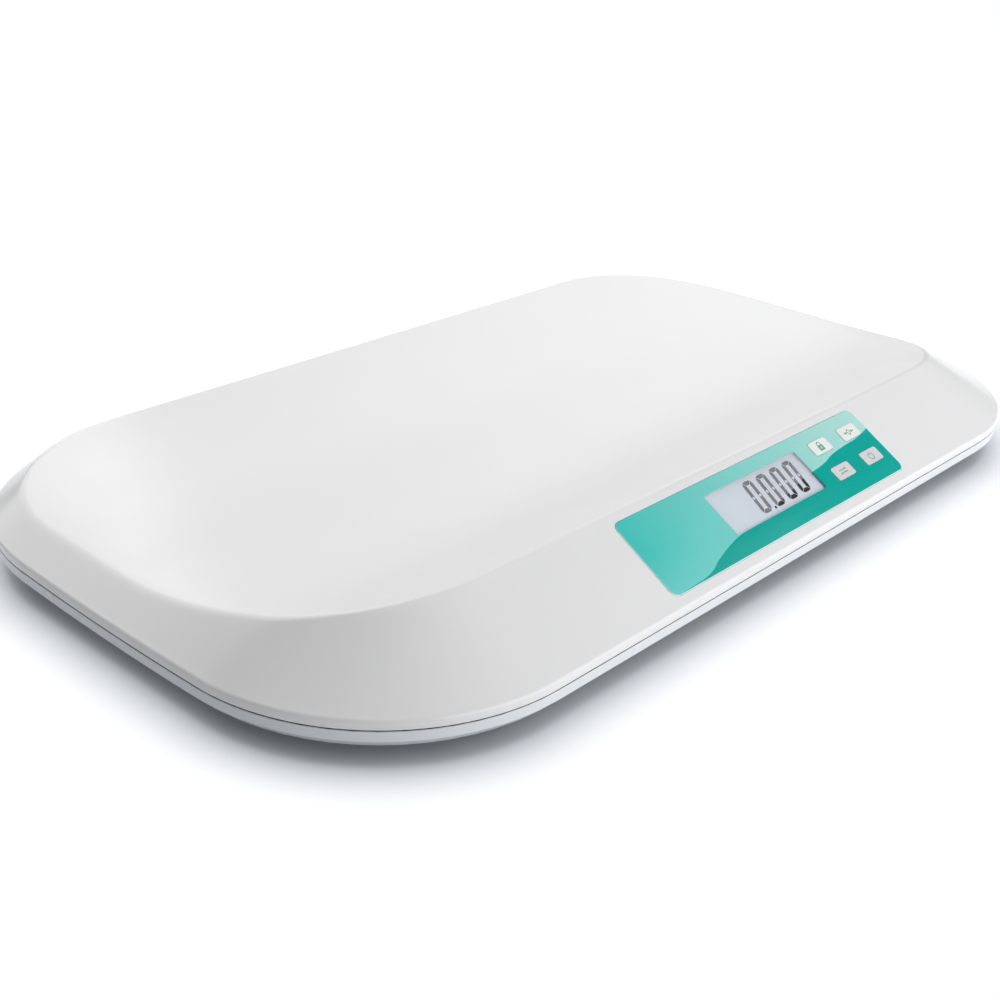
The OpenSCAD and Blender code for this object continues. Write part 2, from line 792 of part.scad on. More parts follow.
// Cross recess cut upwards into the underside of a screw head
slot_w = 0.7;
slot_share = 0.6;
module cross_slot(d, z, depth) {
    block(d * slot_share, slot_w, z - cut, z + depth);
    block(slot_w, d * slot_share, z - cut, z + depth);
}
module switch_bodies() {
    color([0.2, 0.2, 0.22])
        for (i = [0 : 3])
            at_key(i) difference() {
                block(switch_w, switch_w, board_n, switch_h);
                rod(plunger_d + 2 * loose_gap,
                    switch_h - plunger_in - key_travel - plunger_room, switch_h + cut);
            }
}

// =================== keys ===================
module key(i) {
    at_key(i) {
        plate(key_w, key_h, key_r, flange_n - flange_t / 2, key_proud);
        plate(key_w + 2 * key_flange, key_h + 2 * key_flange, key_r + key_flange,
            flange_n - flange_t, flange_n);
        rod(plunger_d, plunger_n, flange_n - flange_t / 2);
    }
}
module plunger(i) {
    at_key(i) rod(plunger_d, switch_h - plunger_in, plunger_n);
}
key_white = [0.96, 0.97, 0.96];
key_grey = [0.87, 0.88, 0.87];
module key_lock() { color(key_white) key(0); }
module key_tare() { color(key_white) key(1); }
module key_unit() { color(key_grey) key(2); }
module key_power() { color(key_grey) key(3); }
module plunger_lock() { color("gold") plunger(0); }
module plunger_tare() { color("gold") plunger(1); }
module plunger_unit() { color("gold") plunger(2); }
module plunger_power() { color("gold") plunger(3); }

// =================== load cells and feet ===================
// A slotted steel plate whose tongue bends as the foot is pushed up
module load_cell(i) {
    color([0.72, 0.74, 0.76]) at_corner(i) difference() {
        block(cell_l, cell_w, cell_z, cell_top_z);
        for (y = [-1, 1])
            translate([0, y * (tongue_w + tongue_slot) / 2, 0])
                block(cell_l - 2 * cell_rim, tongue_slot, cell_z - cut,
                    cell_top_z + cut);
        translate([cell_l / 2 - cell_rim - tongue_slot / 2, 0, 0])
            block(tongue_slot, tongue_w + 2 * tongue_slot, cell_z - cut,
                cell_top_z + cut);
        rod(screw_d + 2 * screw_gap, cell_z - cut, cell_top_z + cut);
    }
}
module cell_clamp(i) {
    color([0.9, 0.9, 0.92]) at_corner(i) difference() {
        plate(clamp_l, 2 * clamp_screw_y + boss_d, clamp_r, cell_top_z, clamp_z);
        plate(clamp_l - 2 * clamp_rim, tongue_w + 2 * tongue_slot, clamp_window_r,
            cell_top_z - cut, clamp_z + cut);
        for (y = [-1, 1])
            translate([0, y * clamp_screw_y, 0])
                rod(small_screw_d + 2 * loose_gap, cell_top_z - cut, clamp_z + cut);
    }
}
// A foot: round cup with a neck that carries the load cell's tongue
module foot(i) {
    color([0.55, 0.56, 0.58]) at_corner(i) difference() {
        rotate_extrude($fn = 96) polygon([
            [0, cup_z], [foot_d / 2 - cup_edge, cup_z],
            [foot_d / 2, cup_z + cup_edge], [foot_d / 2, cup_top_z - cup_top_edge],
            [foot_d / 2 - cup_top_edge, cup_top_z], [neck_d / 2, cup_top_z],
            [neck_d / 2, cell_z - tongue_boss_h],
            [tongue_boss_d / 2, cell_z - tongue_boss_h],
            [tongue_boss_d / 2, cell_z], [0, cell_z]]);
        rod(pad_d + 2 * pad_gap, cup_z - cut, pad_top_z);
        rod(screw_d + 2 * screw_gap, cell_z - foot_screw_l - pilot_room, cell_z + cut);
    }
}
module foot_pad(i) {
    color([0.25, 0.25, 0.27]) at_corner(i) difference() {
        rotate_extrude($fn = 96) polygon([
            [0, 0], [pad_d / 2 - pad_edge, 0], [pad_d / 2, pad_edge],
            [pad_d / 2, pad_t], [0, pad_t]]);
        rotate_extrude($fn = 96) translate([pad_d / 4, 0])
            square([pad_groove_w, 2 * pad_groove_h], center = true);
    }
}
module foot_screw(i) {
    color([0.75, 0.75, 0.78]) at_corner(i) {
        rod(screw_d, cell_z - foot_screw_l, cell_top_z + cut);
        difference() {
            rod(screw_head_d, cell_top_z, cell_top_z + screw_head_h);
            translate([0, 0, cell_top_z + screw_head_h]) mirror([0, 0, 1])
                cross_slot(screw_head_d, 0, screw_slot);
        }
    }
}
module load_cell_front_left() { load_cell(0); }
module load_cell_front_right() { load_cell(1); }
module load_cell_back_left() { load_cell(2); }
module load_cell_back_right() { load_cell(3); }
module cell_clamp_front_left() { cell_clamp(0); }
module cell_clamp_front_right() { cell_clamp(1); }
module cell_clamp_back_left() { cell_clamp(2); }
module cell_clamp_back_right() { cell_clamp(3); }
module foot_front_left() { foot(0); }
module foot_front_right() { foot(1); }
module foot_back_left() { foot(2); }
module foot_back_right() { foot(3); }
module foot_pad_front_left() { foot_pad(0); }
module foot_pad_front_right() { foot_pad(1); }
module foot_pad_back_left() { foot_pad(2); }
module foot_pad_back_right() { foot_pad(3); }
module foot_screw_front_left() { foot_screw(0); }
module foot_screw_front_right() { foot_screw(1); }
module foot_screw_back_left() { foot_screw(2); }
module foot_screw_back_right() { foot_screw(3); }

module cell_screws() {
    color([0.75, 0.75, 0.78])
        for (i = [0 : 3], y = [-1, 1])
            at_corner(i) translate([0, y * clamp_screw_y, 0]) {
                rod(small_screw_d, floor_z + pilot_room, clamp_z + cut);
                difference() {
                    rod(small_head_d, clamp_z, clamp_z + small_head_h);
                    translate([0, 0, clamp_z + small_head_h]) mirror([0, 0, 1])
                        cross_slot(small_head_d, 0, small_slot);
                }
            }
}
module casing_screws() {
    color([0.75, 0.75, 0.78])
        for (p = screw_places)
            translate([p[0], p[1], 0]) {
                rod(screw_d, screw_seat_z - cut, post_z + screw_l);
                difference() {
                    rod(screw_head_d, screw_seat_z - screw_head_h, screw_seat_z);
                    cross_slot(screw_head_d, screw_seat_z - screw_head_h, screw_slot);
                }
            }
}

// =================== batteries and their bay ===================
battery_rows = [-1.5, -0.5, 0.5, 1.5];
function battery_side(k) = k % 2 == 0 ? 1 : -1;
end_in = bay_l / 2 - plate_t;
spring_l = 2 * end_in - battery_l;
module at_battery(k) {
    at_bay() translate([0, battery_rows[k] * battery_pitch, battery_z])
        rotate([0, 0, battery_side(k) > 0 ? 0 : 180]) rotate([0, 90, 0]) children();
}
module batteries() {
    color([0.2, 0.45, 0.3])
        for (k = [0 : 3])
            at_battery(k) {
                rod(cell_d, end_in - battery_l, end_in - nub_l);
                rod(nub_d, end_in - nub_l - cut, end_in);
            }
}
module battery_springs() {
    color([0.8, 0.8, 0.82])
        for (k = [0 : 3])
            at_battery(k) difference() {
                translate([0, 0, -end_in])
                    cylinder(d1 = spring_base_d, d2 = spring_tip_d, h = spring_l,
                        $fn = round_fn);
                translate([0, 0, -end_in])
                    cylinder(d1 = spring_base_d - 2 * spring_wire,
                        d2 = spring_tip_d - 2 * spring_wire, h = spring_l,
                        $fn = round_fn);
            }
}
// Contact plates join the cells in series: end, row centre, number of cells joined
battery_joins = [[-1, -1, 2], [-1, 1, 2], [1, -1.5, 1], [1, 0, 2], [1, 1.5, 1]];
module battery_plates() {
    color([0.8, 0.8, 0.82]) at_bay()
        for (j = battery_joins)
            translate([j[0] * (bay_l / 2 - plate_t / 2), j[1] * battery_pitch, 0])
                block(plate_t, plate_w + (j[2] - 1) * battery_pitch,
                    battery_z - plate_w / 2, battery_z + plate_w / 2);
}
module battery_door() {
    color([0.86, 0.87, 0.88]) at_bay() {
        difference() {
            block(door_l, door_w, ground_gap, door_z);
            translate([door_l / 2 - latch_in, 0, 0]) {
                for (y = [-1, 1])
                    translate([0, y * latch_w / 2, 0])
                        block(latch_l, latch_slit, ground_gap - cut, door_z + cut);
                translate([latch_pad_in, 0, 0])
                    plate(latch_pad_l, latch_pad_w, latch_pad_r, ground_gap - cut,
                        ground_gap + latch_pad_h);
            }
            for (k = [-2 : 2])
                translate([door_l / 2 - grip_in - grip_pitch * k, 0, 0])
                    block(grip_w, grip_l, ground_gap - cut, ground_gap + grip_h);
        }
        for (y = [-1, 1])
            translate([hinge_x, y * tab_y, 0])
                translate([-tab_reach, -tab_w / 2, door_z - tab_t])
                    cube([tab_reach + tab_root, tab_w, tab_t + tab_lift]);
    }
}

// =================== leads ===================
// Quarter bend in the floor plane: from heading a (degrees) turning by 90
module lead_bend_part(turn) {
    translate([0, turn * lead_bend, 0])
        rotate([0, 0, turn > 0 ? -90 : 0])
            rotate_extrude(angle = 90, $fn = 64)
                translate([lead_bend, 0]) circle(d = lead_d, $fn = 24);
}
module lead_run(l) {
    rotate([0, 90, 0]) cylinder(d = lead_d, h = l, $fn = 24);
}
module lead_rise(h) {
    translate([0, 0, lead_bend]) rotate([90, 0, 0])
        rotate([0, 0, -90]) rotate_extrude(angle = 90, $fn = 64)
            translate([lead_bend, 0]) circle(d = lead_d, $fn = 24);
    translate([lead_bend, 0, lead_bend])
        cylinder(d = lead_d, h = h - lead_bend, $fn = 24);
}
// From a load cell along the front to the connector, for the left side
module front_lead(x1) {
    x0 = -foot_x + cell_l / 2;
    translate([x0, -foot_y, lead_z]) {
        lead_run(x1 - lead_bend - x0);
        translate([x1 - lead_bend - x0, 0, 0]) lead_bend_part(-1);
        translate([x1 - x0, -lead_bend, 0]) rotate([0, 0, -90]) {
            run = -lead_y - foot_y - 2 * lead_bend;
            lead_run(run);
            translate([run, 0, 0]) lead_rise(lead_top_z - lead_z);
        }
    }
}
lead_lane_in = 15;
lead_lane_up = 8;
lead_lane_x = foot_x - cell_l / 2 - lead_lane_in;
lead_lane_y = lead_lane_up - foot_y;
module back_lead(x1) {
    x0 = -foot_x + cell_l / 2;
    y1 = lead_lane_y;
    translate([x0, foot_y, lead_z]) {
        run_in = -lead_lane_x - lead_bend - x0;
        lead_run(run_in);
        translate([run_in, 0, 0]) lead_bend_part(-1);
    }
    translate([-lead_lane_x, foot_y - lead_bend, lead_z]) rotate([0, 0, -90]) {
        run_down = foot_y - y1 - 2 * lead_bend;
        lead_run(run_down);
        translate([run_down, 0, 0]) lead_bend_part(1);
    }
    translate([-lead_lane_x + lead_bend, y1, lead_z]) {
        run_in = x1 - lead_bend + lead_lane_x - lead_bend;
        lead_run(run_in);
        translate([run_in, 0, 0]) lead_bend_part(-1);
    }
    translate([x1, y1 - lead_bend, lead_z]) rotate([0, 0, -90]) {
        run = y1 - lead_y - 2 * lead_bend;
        lead_run(run);
        translate([run, 0, 0]) lead_rise(lead_top_z - lead_z);
    }
}
lead_grey = [0.6, 0.6, 0.62];
module cell_lead_front_left() { color(lead_grey) front_lead(-2 * lead_pitch); }
module cell_lead_front_right() {
    color(lead_grey) mirror([1, 0, 0]) front_lead(-2 * lead_pitch);
}
module cell_lead_back_left() { color(lead_grey) back_lead(-lead_pitch); }
module cell_lead_back_right() {
    color(lead_grey) mirror([1, 0, 0]) back_lead(-lead_pitch);
}
module battery_lead() {
    color([0.75, 0.15, 0.12])
        translate([0, bay_y - bay_w / 2 - bay_wall, battery_lead_z])
        rotate([0, 0, -90]) {
            run = bay_y - bay_w / 2 - bay_wall - lead_y - lead_bend;
            lead_run(run);
            translate([run, 0, 0]) lead_rise(lead_top_z - battery_lead_z);
        }
}

tray();
base_pan();
panel_overlay();
display_lens();
lcd_glass();
lcd_frame();
backlight();
contact_strips();
main_board();
board_chips();
board_connector();
board_screws();
switch_bodies();
key_lock();
key_tare();
key_unit();
key_power();
plunger_lock();
plunger_tare();
plunger_unit();
plunger_power();
load_cell_front_left();
load_cell_front_right();
load_cell_back_left();
load_cell_back_right();
cell_clamp_front_left();
cell_clamp_front_right();
cell_clamp_back_left();
cell_clamp_back_right();
foot_front_left();
foot_front_right();
foot_back_left();
foot_back_right();
foot_pad_front_left();
foot_pad_front_right();
foot_pad_back_left();
foot_pad_back_right();
foot_screw_front_left();
foot_screw_front_right();
foot_screw_back_left();
foot_screw_back_right();
cell_screws();
casing_screws();
batteries();
battery_springs();
battery_plates();
battery_door();
cell_lead_front_left();
cell_lead_front_right();
cell_lead_back_left();
cell_lead_back_right();
battery_lead();
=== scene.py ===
"""Looks of a digital baby weighing scale, built round its packed construction.

The construction's pieces come from model.glb, in metres. The tray, the printed panel, the
display and the marks on the keys are modelled here, and the other pieces keep their shape and
get softened edges and a finish.
"""
import math

import bmesh
import bpy
from bpy.props import FloatProperty, FloatVectorProperty, IntProperty, PointerProperty
from mathutils import Matrix, Vector


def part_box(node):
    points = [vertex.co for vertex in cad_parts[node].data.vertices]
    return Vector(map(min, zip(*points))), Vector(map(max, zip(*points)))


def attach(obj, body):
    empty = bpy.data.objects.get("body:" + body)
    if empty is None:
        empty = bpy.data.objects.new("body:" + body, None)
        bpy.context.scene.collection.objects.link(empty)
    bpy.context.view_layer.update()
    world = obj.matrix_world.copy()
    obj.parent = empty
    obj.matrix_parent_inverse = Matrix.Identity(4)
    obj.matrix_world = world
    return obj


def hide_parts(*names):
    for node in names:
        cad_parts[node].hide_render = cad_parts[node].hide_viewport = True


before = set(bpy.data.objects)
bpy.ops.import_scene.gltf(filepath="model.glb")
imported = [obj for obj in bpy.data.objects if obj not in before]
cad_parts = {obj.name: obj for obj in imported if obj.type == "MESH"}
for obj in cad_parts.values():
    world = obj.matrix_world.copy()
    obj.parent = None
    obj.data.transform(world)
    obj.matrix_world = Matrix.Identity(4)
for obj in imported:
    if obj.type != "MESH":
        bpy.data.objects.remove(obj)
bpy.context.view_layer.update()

bl_info = {
    "name": "Baby Weighing Scale",
    "version": (1, 0, 0),
    "blender": (4, 5, 0),
    "location": "View3D > Sidebar > Baby Scale",
    "description": "Builds the tray, display panel and finishes of a baby weighing scale",
    "category": "Object",
}

MM = 0.001
TINY = 1e-5
CRISP = math.radians(35)
KEYS = ("lock", "tare", "unit", "power")
CORNERS = ("front_left", "front_right", "back_left", "back_right")


def in_mm(default, description):
    """A length property whose default is given in millimetres."""
    return FloatProperty(description=description, default=default * MM, unit="LENGTH",
                         precision=4)


def in_degrees(default, description):
    """An angle property whose default is given in degrees."""
    return FloatProperty(description=description, default=math.radians(default),
                         subtype="ANGLE")


def linear(red, green, blue):
    """A colour given as it looks on screen, from 0 to 255, in the values that shaders take."""
    def channel(value):
        share = value / 255
        return share / 12.92 if share <= 0.04045 else ((share + 0.055) / 1.055) ** 2.4
    return channel(red), channel(green), channel(blue)


def in_colour(default, description):
    """A colour property whose default is given as it looks on screen."""
    return FloatVectorProperty(description=description, subtype="COLOR", min=0, max=1,
                               default=linear(*default))


def in_watts(default):
    """The strength of a lamp."""
    return FloatProperty(description="Strength of this lamp in watts", default=default)


# ---- Sizes and colours

class TraySizes(bpy.types.PropertyGroup):
    """Shape of the tray over the body's outline"""
    corner_radius: in_mm(99, "Radius of the corners in plan")
    end_bow: in_mm(1730, "Radius of the slightly bowed ends in plan")
    rim_height: in_mm(4.1, "Upright band round the rim")
    rim_edge: in_mm(0.5, "Width of the rounding on top of that band")
    wall: in_mm(2.6, "Thickness of the moulding, measured straight down")
    front_slope: in_degrees(29.7, "Slope of the display side")
    end_slope: in_degrees(26, "Slope of the ends")
    back_slope: in_degrees(40, "Slope of the back")
    front_crest: in_mm(30, "Height of the front crest over the parting line")
    back_crest: in_mm(16.9, "Height of the back crest over the parting line")
    dish: in_mm(12.3, "Height of the dish's lowest line over the parting line")
    dish_slope: in_degrees(13.2, "Slope of the dish below the front crest")
    dish_back_slope: in_degrees(8, "Steepest slope below the back crest")
    dish_front_bend: in_mm(400, "Radius of the dish below the front crest")
    dish_back_bend: in_mm(600, "Radius of the dish below the back crest")
    crest_blend: in_mm(1.45, "Height over which the crest is rounded")
    crest_band: in_mm(2.2, "Strip on either side of the crest with close rings")
    lip: in_mm(0.35, "Rounding of the tray's lower edge")
    bow_steps: IntProperty(description="Points on half an end", default=8)
    corner_steps: IntProperty(description="Points on a corner", default=36)
    side_steps: IntProperty(description="Points on half a side", default=14)


class PanelSizes(bpy.types.PropertyGroup):
    """The printed panel on the display slope and what shows through it"""
    width: in_mm(195, "Width of the panel")
    height: in_mm(42.2, "Height of the panel along the slope")
    up_slope: in_mm(5, "Distance of the panel from the rim's edge")
    along: in_mm(2.5, "Sideways place of the panel's middle")
    thickness: in_mm(1, "Thickness of the panel")
    proud: in_mm(0.2, "How far the panel stands out of the slope")
    corner: in_mm(4.5, "Radius of the panel's corners")
    edge: in_mm(0.3, "Rounding of the panel's upper edge")
    pocket_gap: in_mm(0.2, "Gap between the panel and its pocket")
    window_width: in_mm(75, "Width of the display window")
    window_height: in_mm(24, "Height of the display window")
    window_x: in_mm(-1, "Sideways place of the display window")
    window_s: in_mm(22.9, "Height of the window's middle up the panel")
    glass_rim: in_mm(3, "Rim of the display glass round the window")
    key_width: in_mm(15.4, "Width of a key")
    key_height: in_mm(7.9, "Height of a key")
    key_corner: in_mm(1.3, "Radius of a key's corners")
    key_gap: in_mm(0.25, "Gap round a key")
    key_proud: in_mm(0.5, "How far a key stands out of the slope")
    key_x: in_mm(55.7, "Sideways place of the inner pair of keys")
    key_pitch_x: in_mm(26.8, "Distance between the columns of keys")
    key_s: in_mm(14, "Height of the lower row of keys up the panel")
    key_pitch_s: in_mm(16.8, "Distance between the rows of keys")


class DigitSizes(bpy.types.PropertyGroup):
    """The digits that the display shows"""
    width: in_mm(7.5, "Width of a digit")
    height: in_mm(18.8, "Height of a digit")
    stroke: in_mm(2.25, "Width of a digit's strokes")
    corner: in_mm(2.65, "Radius of a digit's corners")
    pitch: in_mm(11.07, "Distance from one digit to the next")
    first_x: in_mm(-6.8, "Place of the first digit from the window's middle")
    up: in_mm(0.4, "Height of the digits' middle over the window's middle")
    slant: in_degrees(6.3, "Slant of the digits")
    gap: in_mm(0.3, "Gap between two strokes")
    slit: in_mm(3, "Length of the cut through a digit's corner")
    notch: in_mm(1.1, "Side of the notch between two upright strokes")
    dot: in_mm(1.4, "Side of the dot")
    dot_corner: in_mm(0.3, "Radius of the dot's corners")
    dot_shift: in_mm(0.6, "Place of the dot from the gap's middle and the digits' foot")
    depth: in_mm(0.05, "Thickness of a stroke")


class Finishes(bpy.types.PropertyGroup):
    """Colours of the pieces"""
    shell: in_colour((246, 246, 247), "Glossy white moulding of the tray")
    base: in_colour((237, 240, 245), "Glossy white moulding of the base")
    print_deep: in_colour((0, 174, 163), "Panel below its light field")
    # The light field is a painted reflection on the panel: pale teal on the left, paler on the
    # right
    sheen_left: in_colour((78, 212, 204), "Left of the light field")
    sheen_right: in_colour((188, 236, 230), "Right of the light field")
    # Painted highlight on the panel's edge, on every side but the upper one
    edge_highlight: in_colour((222, 255, 255), "Edge of the panel towards the front")
    # The painted reflection's paler lower left part
    sheen_low: in_colour((130, 222, 218), "Lower left part of the light field")
    # Whitish painted reflection on the clear window, stronger where the light field crosses it
    window: in_colour((247, 248, 252), "Haze on the clear window")
    display: in_colour((230, 245, 255), "Ground of the display")
    display_right: in_colour((214, 214, 228), "Right end of the display's ground")
    display_rim: in_colour((196, 192, 206), "Ground along the window's rim")
    segment: in_colour((8, 8, 10), "Dark strokes of the digits")
    # Lit and shaded copies of the keys' white: lighter in the painted reflection, darker as
    # painted shade below it
    key: in_colour((250, 250, 250), "Keys in the light field")
    key_shaded: in_colour((226, 225, 227), "Keys below the light field")
    icon: in_colour((92, 176, 146), "Marks on the keys")
    foot: in_colour((132, 134, 138), "Moulded feet")
    pad: in_colour((52, 53, 56), "Rubber pads under the feet")


class Studio(bpy.types.PropertyGroup):
    """Camera and light"""
    lens: FloatProperty(description="Focal length in millimetres", default=52.7)
    sensor: FloatProperty(description="Width of the sensor in millimetres", default=36)
    eye: FloatVectorProperty(description="Place of the camera", subtype="TRANSLATION",
                             default=(-0.5457, -0.4526, 0.3308))
    across: FloatVectorProperty(description="Direction to the right", subtype="DIRECTION",
                                default=(0.6798, -0.7322, 0.0426))
    up: FloatVectorProperty(description="Direction upwards in the picture",
                            subtype="DIRECTION", default=(0.2970, 0.3279, 0.8969))
    sky: FloatProperty(description="Strength of the room in reflections", default=0.38)
    # The floor as the camera sees it: the share of the lamps' light on it, and the span of the
    # painted shadow round the scale
    floor_share: FloatProperty(description="Share of the lamps' light seen on the floor",
                               default=0.3)
    shade_start: in_mm(-25, "Where the floor's shade starts, from the outline")
    shade_stop: in_mm(20, "Where the floor's shade ends, from the outline")
    overhead: in_watts(3.7)
    right: in_watts(8.1)
    front_right: in_watts(10.1)
    back: in_watts(4.5)
    back_low: in_watts(2.3)
    back_left: in_watts(8.9)
    left: in_watts(2.5)


GROUPS = {"scale_tray": TraySizes, "scale_panel": PanelSizes, "scale_digits": DigitSizes,
          "scale_finish": Finishes, "scale_studio": Studio}


# ---- The tray's surface

def eased(share):
    """A smooth step from 0 to 1."""
    return (1 - math.cos(math.pi * min(max(share, 0), 1))) / 2


def parting_line():
    """Height of the tray's lower edge, taken where the tray is widest."""
    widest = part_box("tray")[1].y - TINY
    return min(v.co.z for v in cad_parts["tray"].data.vertices if v.co.y > widest)


class Skin:
    """The tray's outer surface, as heights over the body's plan."""

    # Rings over the dish, on either side of the crest, down the wall and round the rim
    dish_rings, crest_rings, wall_rings, edge_rings = 20, 11, 12, 7
    # Insets between which the crest lies, and how often that span is halved
    crest_span, halvings = (2 * MM, 70 * MM), 30
    # Of the rim's edge: where its rounding starts on the wall, how near the rounding comes
    # to the outline halfway, and how far it reaches down
    edge_start, edge_pull, edge_drop = 3, 0.12, 2.2

    def __init__(self, sizes):
        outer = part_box("tray")[1]
        self.sizes = sizes
        self.half_length = outer.x
        self.half_width = outer.y
        self.parting = parting_line()
        self.rim = self.parting + sizes.rim_height
        self.wall_start = sizes.rim_edge * self.edge_start
        front_in = sizes.rim_edge + (sizes.front_crest - sizes.rim_height) / math.tan(
            sizes.front_slope)
        bend, slope = sizes.dish_front_bend, sizes.dish_slope
        run = bend * math.sin(slope) + (
            sizes.front_crest - sizes.dish - bend * (1 - math.cos(slope))) / math.tan(slope)
        self.flat_front = front_in - self.half_width + run
        back_in = sizes.rim_edge + (sizes.back_crest - sizes.rim_height) / math.tan(
            sizes.back_slope)
        rise = sizes.back_crest - sizes.dish
        run = math.sqrt(2 * sizes.dish_back_bend * rise - rise ** 2)
        self.flat_back = self.half_width - back_in - run
        self.middle = (self.flat_front + self.flat_back) / 2
        self.outline = self.make_outline()
        self.crests = [self.crest_inset(point) for point in self.outline]

    @staticmethod
    def spot(x, y, radius, turn):
        """A point on an arc about x, y, with its normal."""
        across, along = math.cos(turn), math.sin(turn)
        return x + radius * across, y + radius * along, across, along

    def make_outline(self):
        """Points of the plan with their outward normals, once round from +X."""
        s = self.sizes
        bow, corner = s.end_bow, s.corner_radius
        corner_y = self.half_width - corner
        corner_x = self.half_length - bow + math.sqrt((bow - corner) ** 2 - corner_y ** 2)
        meeting = math.asin(corner_y / (bow - corner))
        quarter = [self.spot(self.half_length - bow, 0, bow, meeting * step / s.bow_steps)
                   for step in range(s.bow_steps)]
        quarter += [self.spot(corner_x, corner_y, corner,
                              meeting + (math.pi / 2 - meeting) * step / s.corner_steps)
                    for step in range(s.corner_steps + 1)]
        quarter += [(corner_x * (1 - step / s.side_steps), self.half_width, 0, 1)
                    for step in range(1, s.side_steps + 1)]
        flips = ((1, 1, quarter), (-1, 1, quarter[-2::-1]), (-1, -1, quarter[1:]),
                 (1, -1, quarter[-2:0:-1]))
        return [(x * fx, y * fy, nx * fx, ny * fy)
                for fx, fy, points in flips for x, y, nx, ny in points]

    def wall_slope(self, facing):
        """Slope of the outer wall where its normal's share along Y is facing."""
        s = self.sizes
        far = s.front_slope if facing < 0 else s.back_slope
        return s.end_slope + (far - s.end_slope) * eased(abs(facing))

    def wall_height(self, point, inset):
        rise = max(inset - self.sizes.rim_edge, 0) * math.tan(self.wall_slope(point[3]))
        return self.rim + rise

    @staticmethod
    def side_rise(run, bend, slope):
        """Rise of a dish side that starts level, curves up and then runs straight."""
        if run <= 0:
            return 0
        if run < bend * math.sin(slope):
            return bend - math.sqrt(bend ** 2 - run ** 2)
        return bend * (1 - math.cos(slope)) + (run - bend * math.sin(slope)) * math.tan(slope)

    def dish_height(self, y):
        s = self.sizes
        return (self.parting + s.dish
                + self.side_rise(self.flat_front - y, s.dish_front_bend, s.dish_slope)
                + self.side_rise(y - self.flat_back, s.dish_back_bend, s.dish_back_slope))

    @staticmethod
    def inset(point, distance):
        return point[0] - point[2] * distance, point[1] - point[3] * distance

    def height(self, point, inset):
        """Height of the skin at an inset from the outline, rounded over the crest."""
        wall = self.wall_height(point, inset)
        dish = self.dish_height(self.inset(point, inset)[1])
        blend = self.sizes.crest_blend
        return min(wall, dish) - max(blend - abs(wall - dish), 0) ** 2 / (4 * blend)

    def crest_inset(self, point):
        """Inset at which the outer wall meets the dish, found by halving."""
        low, high = self.crest_span
        for _ in range(self.halvings):
            half = (low + high) / 2
            if self.wall_height(point, half) < self.dish_height(self.inset(point, half)[1]):
                low = half
            else:
                high = half
        return low

    def ring(self, insets, heights):
        return [Vector((*self.inset(point, d), z))
                for point, d, z in zip(self.outline, insets, heights)]

    def level_ring(self, inset, height):
        count = len(self.outline)
        return self.ring([inset] * count, [height] * count)

    def skin_ring(self, insets, drop=0.0):
        """A ring at these insets, on the skin or a drop below it."""
        return self.ring(insets, [self.height(point, inset) - drop
                                  for point, inset in zip(self.outline, insets)])

    def crest_ring(self, offset, drop=0.0):
        return self.skin_ring([crest + offset for crest in self.crests], drop)

    def wall_ring(self, share):
        """A ring on the outer wall, a share of the way from the rim to the crest."""
        reach = self.sizes.crest_band + self.wall_start
        return self.skin_ring([self.wall_start + (crest - reach) * share
                               for crest in self.crests])

    def dish_ring(self, share, drop=0.0):
        """A ring inside the crest, drawn in towards the middle of the flat floor."""
        ring = []
        for point, crest in zip(self.outline, self.crests):
            x, y = self.inset(point, crest + self.sizes.crest_band)
            x, y = x * share, self.middle + (y - self.middle) * share
            ring.append(Vector((x, y, self.dish_height(y) - drop)))
        return ring

    def outside(self):
        """Rings of the outer skin, from the middle of the dish out and down to its edge."""
        s = self.sizes
        dish, crest, wall = self.dish_rings, self.crest_rings, self.wall_rings
        rings = [self.dish_ring(step / dish) for step in range(1, dish)]
        rings += [self.crest_ring(s.crest_band * (1 - step / crest))
                  for step in range(2 * crest + 1)]
        rings += [self.wall_ring(1 - step / wall) for step in range(1, wall + 1)]
        rings += self.rim_rings()
        rings += [self.level_ring(0, self.parting + s.rim_height / 2),
                  self.level_ring(0, self.parting + s.lip),
                  self.level_ring(s.lip * 0.3, self.parting + s.lip * 0.3),
                  self.level_ring(s.lip, self.parting)]
        return rings

    def rim_rings(self):
        """The rounded edge between the outer wall and the upright band."""
        edge, start = self.sizes.rim_edge, self.wall_start
        foot = self.rim - edge * self.edge_drop
        rings = []
        for step in range(1, self.edge_rings + 1):
            t = step / self.edge_rings
            inset = (1 - t) ** 2 * start + 2 * (1 - t) * t * edge * self.edge_pull
            heights = [(1 - t) ** 2 * self.wall_height(point, start)
                       + 2 * (1 - t) * t * self.rim + t ** 2 * foot
                       for point in self.outline]
            rings.append(self.ring([inset] * len(heights), heights))
        return rings

    def inside(self):
        """Rings of the inner skin, from the tray's lower edge up to the middle."""
        s = self.sizes
        rings = [self.level_ring(s.wall - s.lip, self.parting),
                 self.level_ring(s.wall, self.parting + s.lip),
                 self.skin_ring([s.wall] * len(self.outline), s.wall)]
        rings += [self.crest_ring(s.crest_band * side, s.wall) for side in (-1, 0, 1)]
        rings += [self.dish_ring(share / 10, s.wall) for share in (9, 7, 5, 3, 1)]
        return rings


# ---- Modelling by hand

def clear_selection():
    if bpy.context.object and bpy.context.object.mode != "OBJECT":
        bpy.ops.object.mode_set(mode="OBJECT")
    bpy.ops.object.select_all(action="DESELECT")


def pick(*pieces):
    """Only these are selected, and the first is active."""
    clear_selection()
    for piece in pieces:
        piece.select_set(True)
    bpy.context.view_layer.objects.active = pieces[0]


def new_object(name, data):
    """Puts a new object with this data in the scene."""
    made = bpy.data.objects.new(name, data)
    bpy.context.scene.collection.objects.link(made)
    return made


def edit(piece):
    """Goes to edit mode on a piece and returns its mesh."""
    pick(piece)
    bpy.ops.object.mode_set(mode="EDIT")
    return bmesh.from_edit_mesh(piece.data)


def leave():
    bpy.ops.object.mode_set(mode="OBJECT")


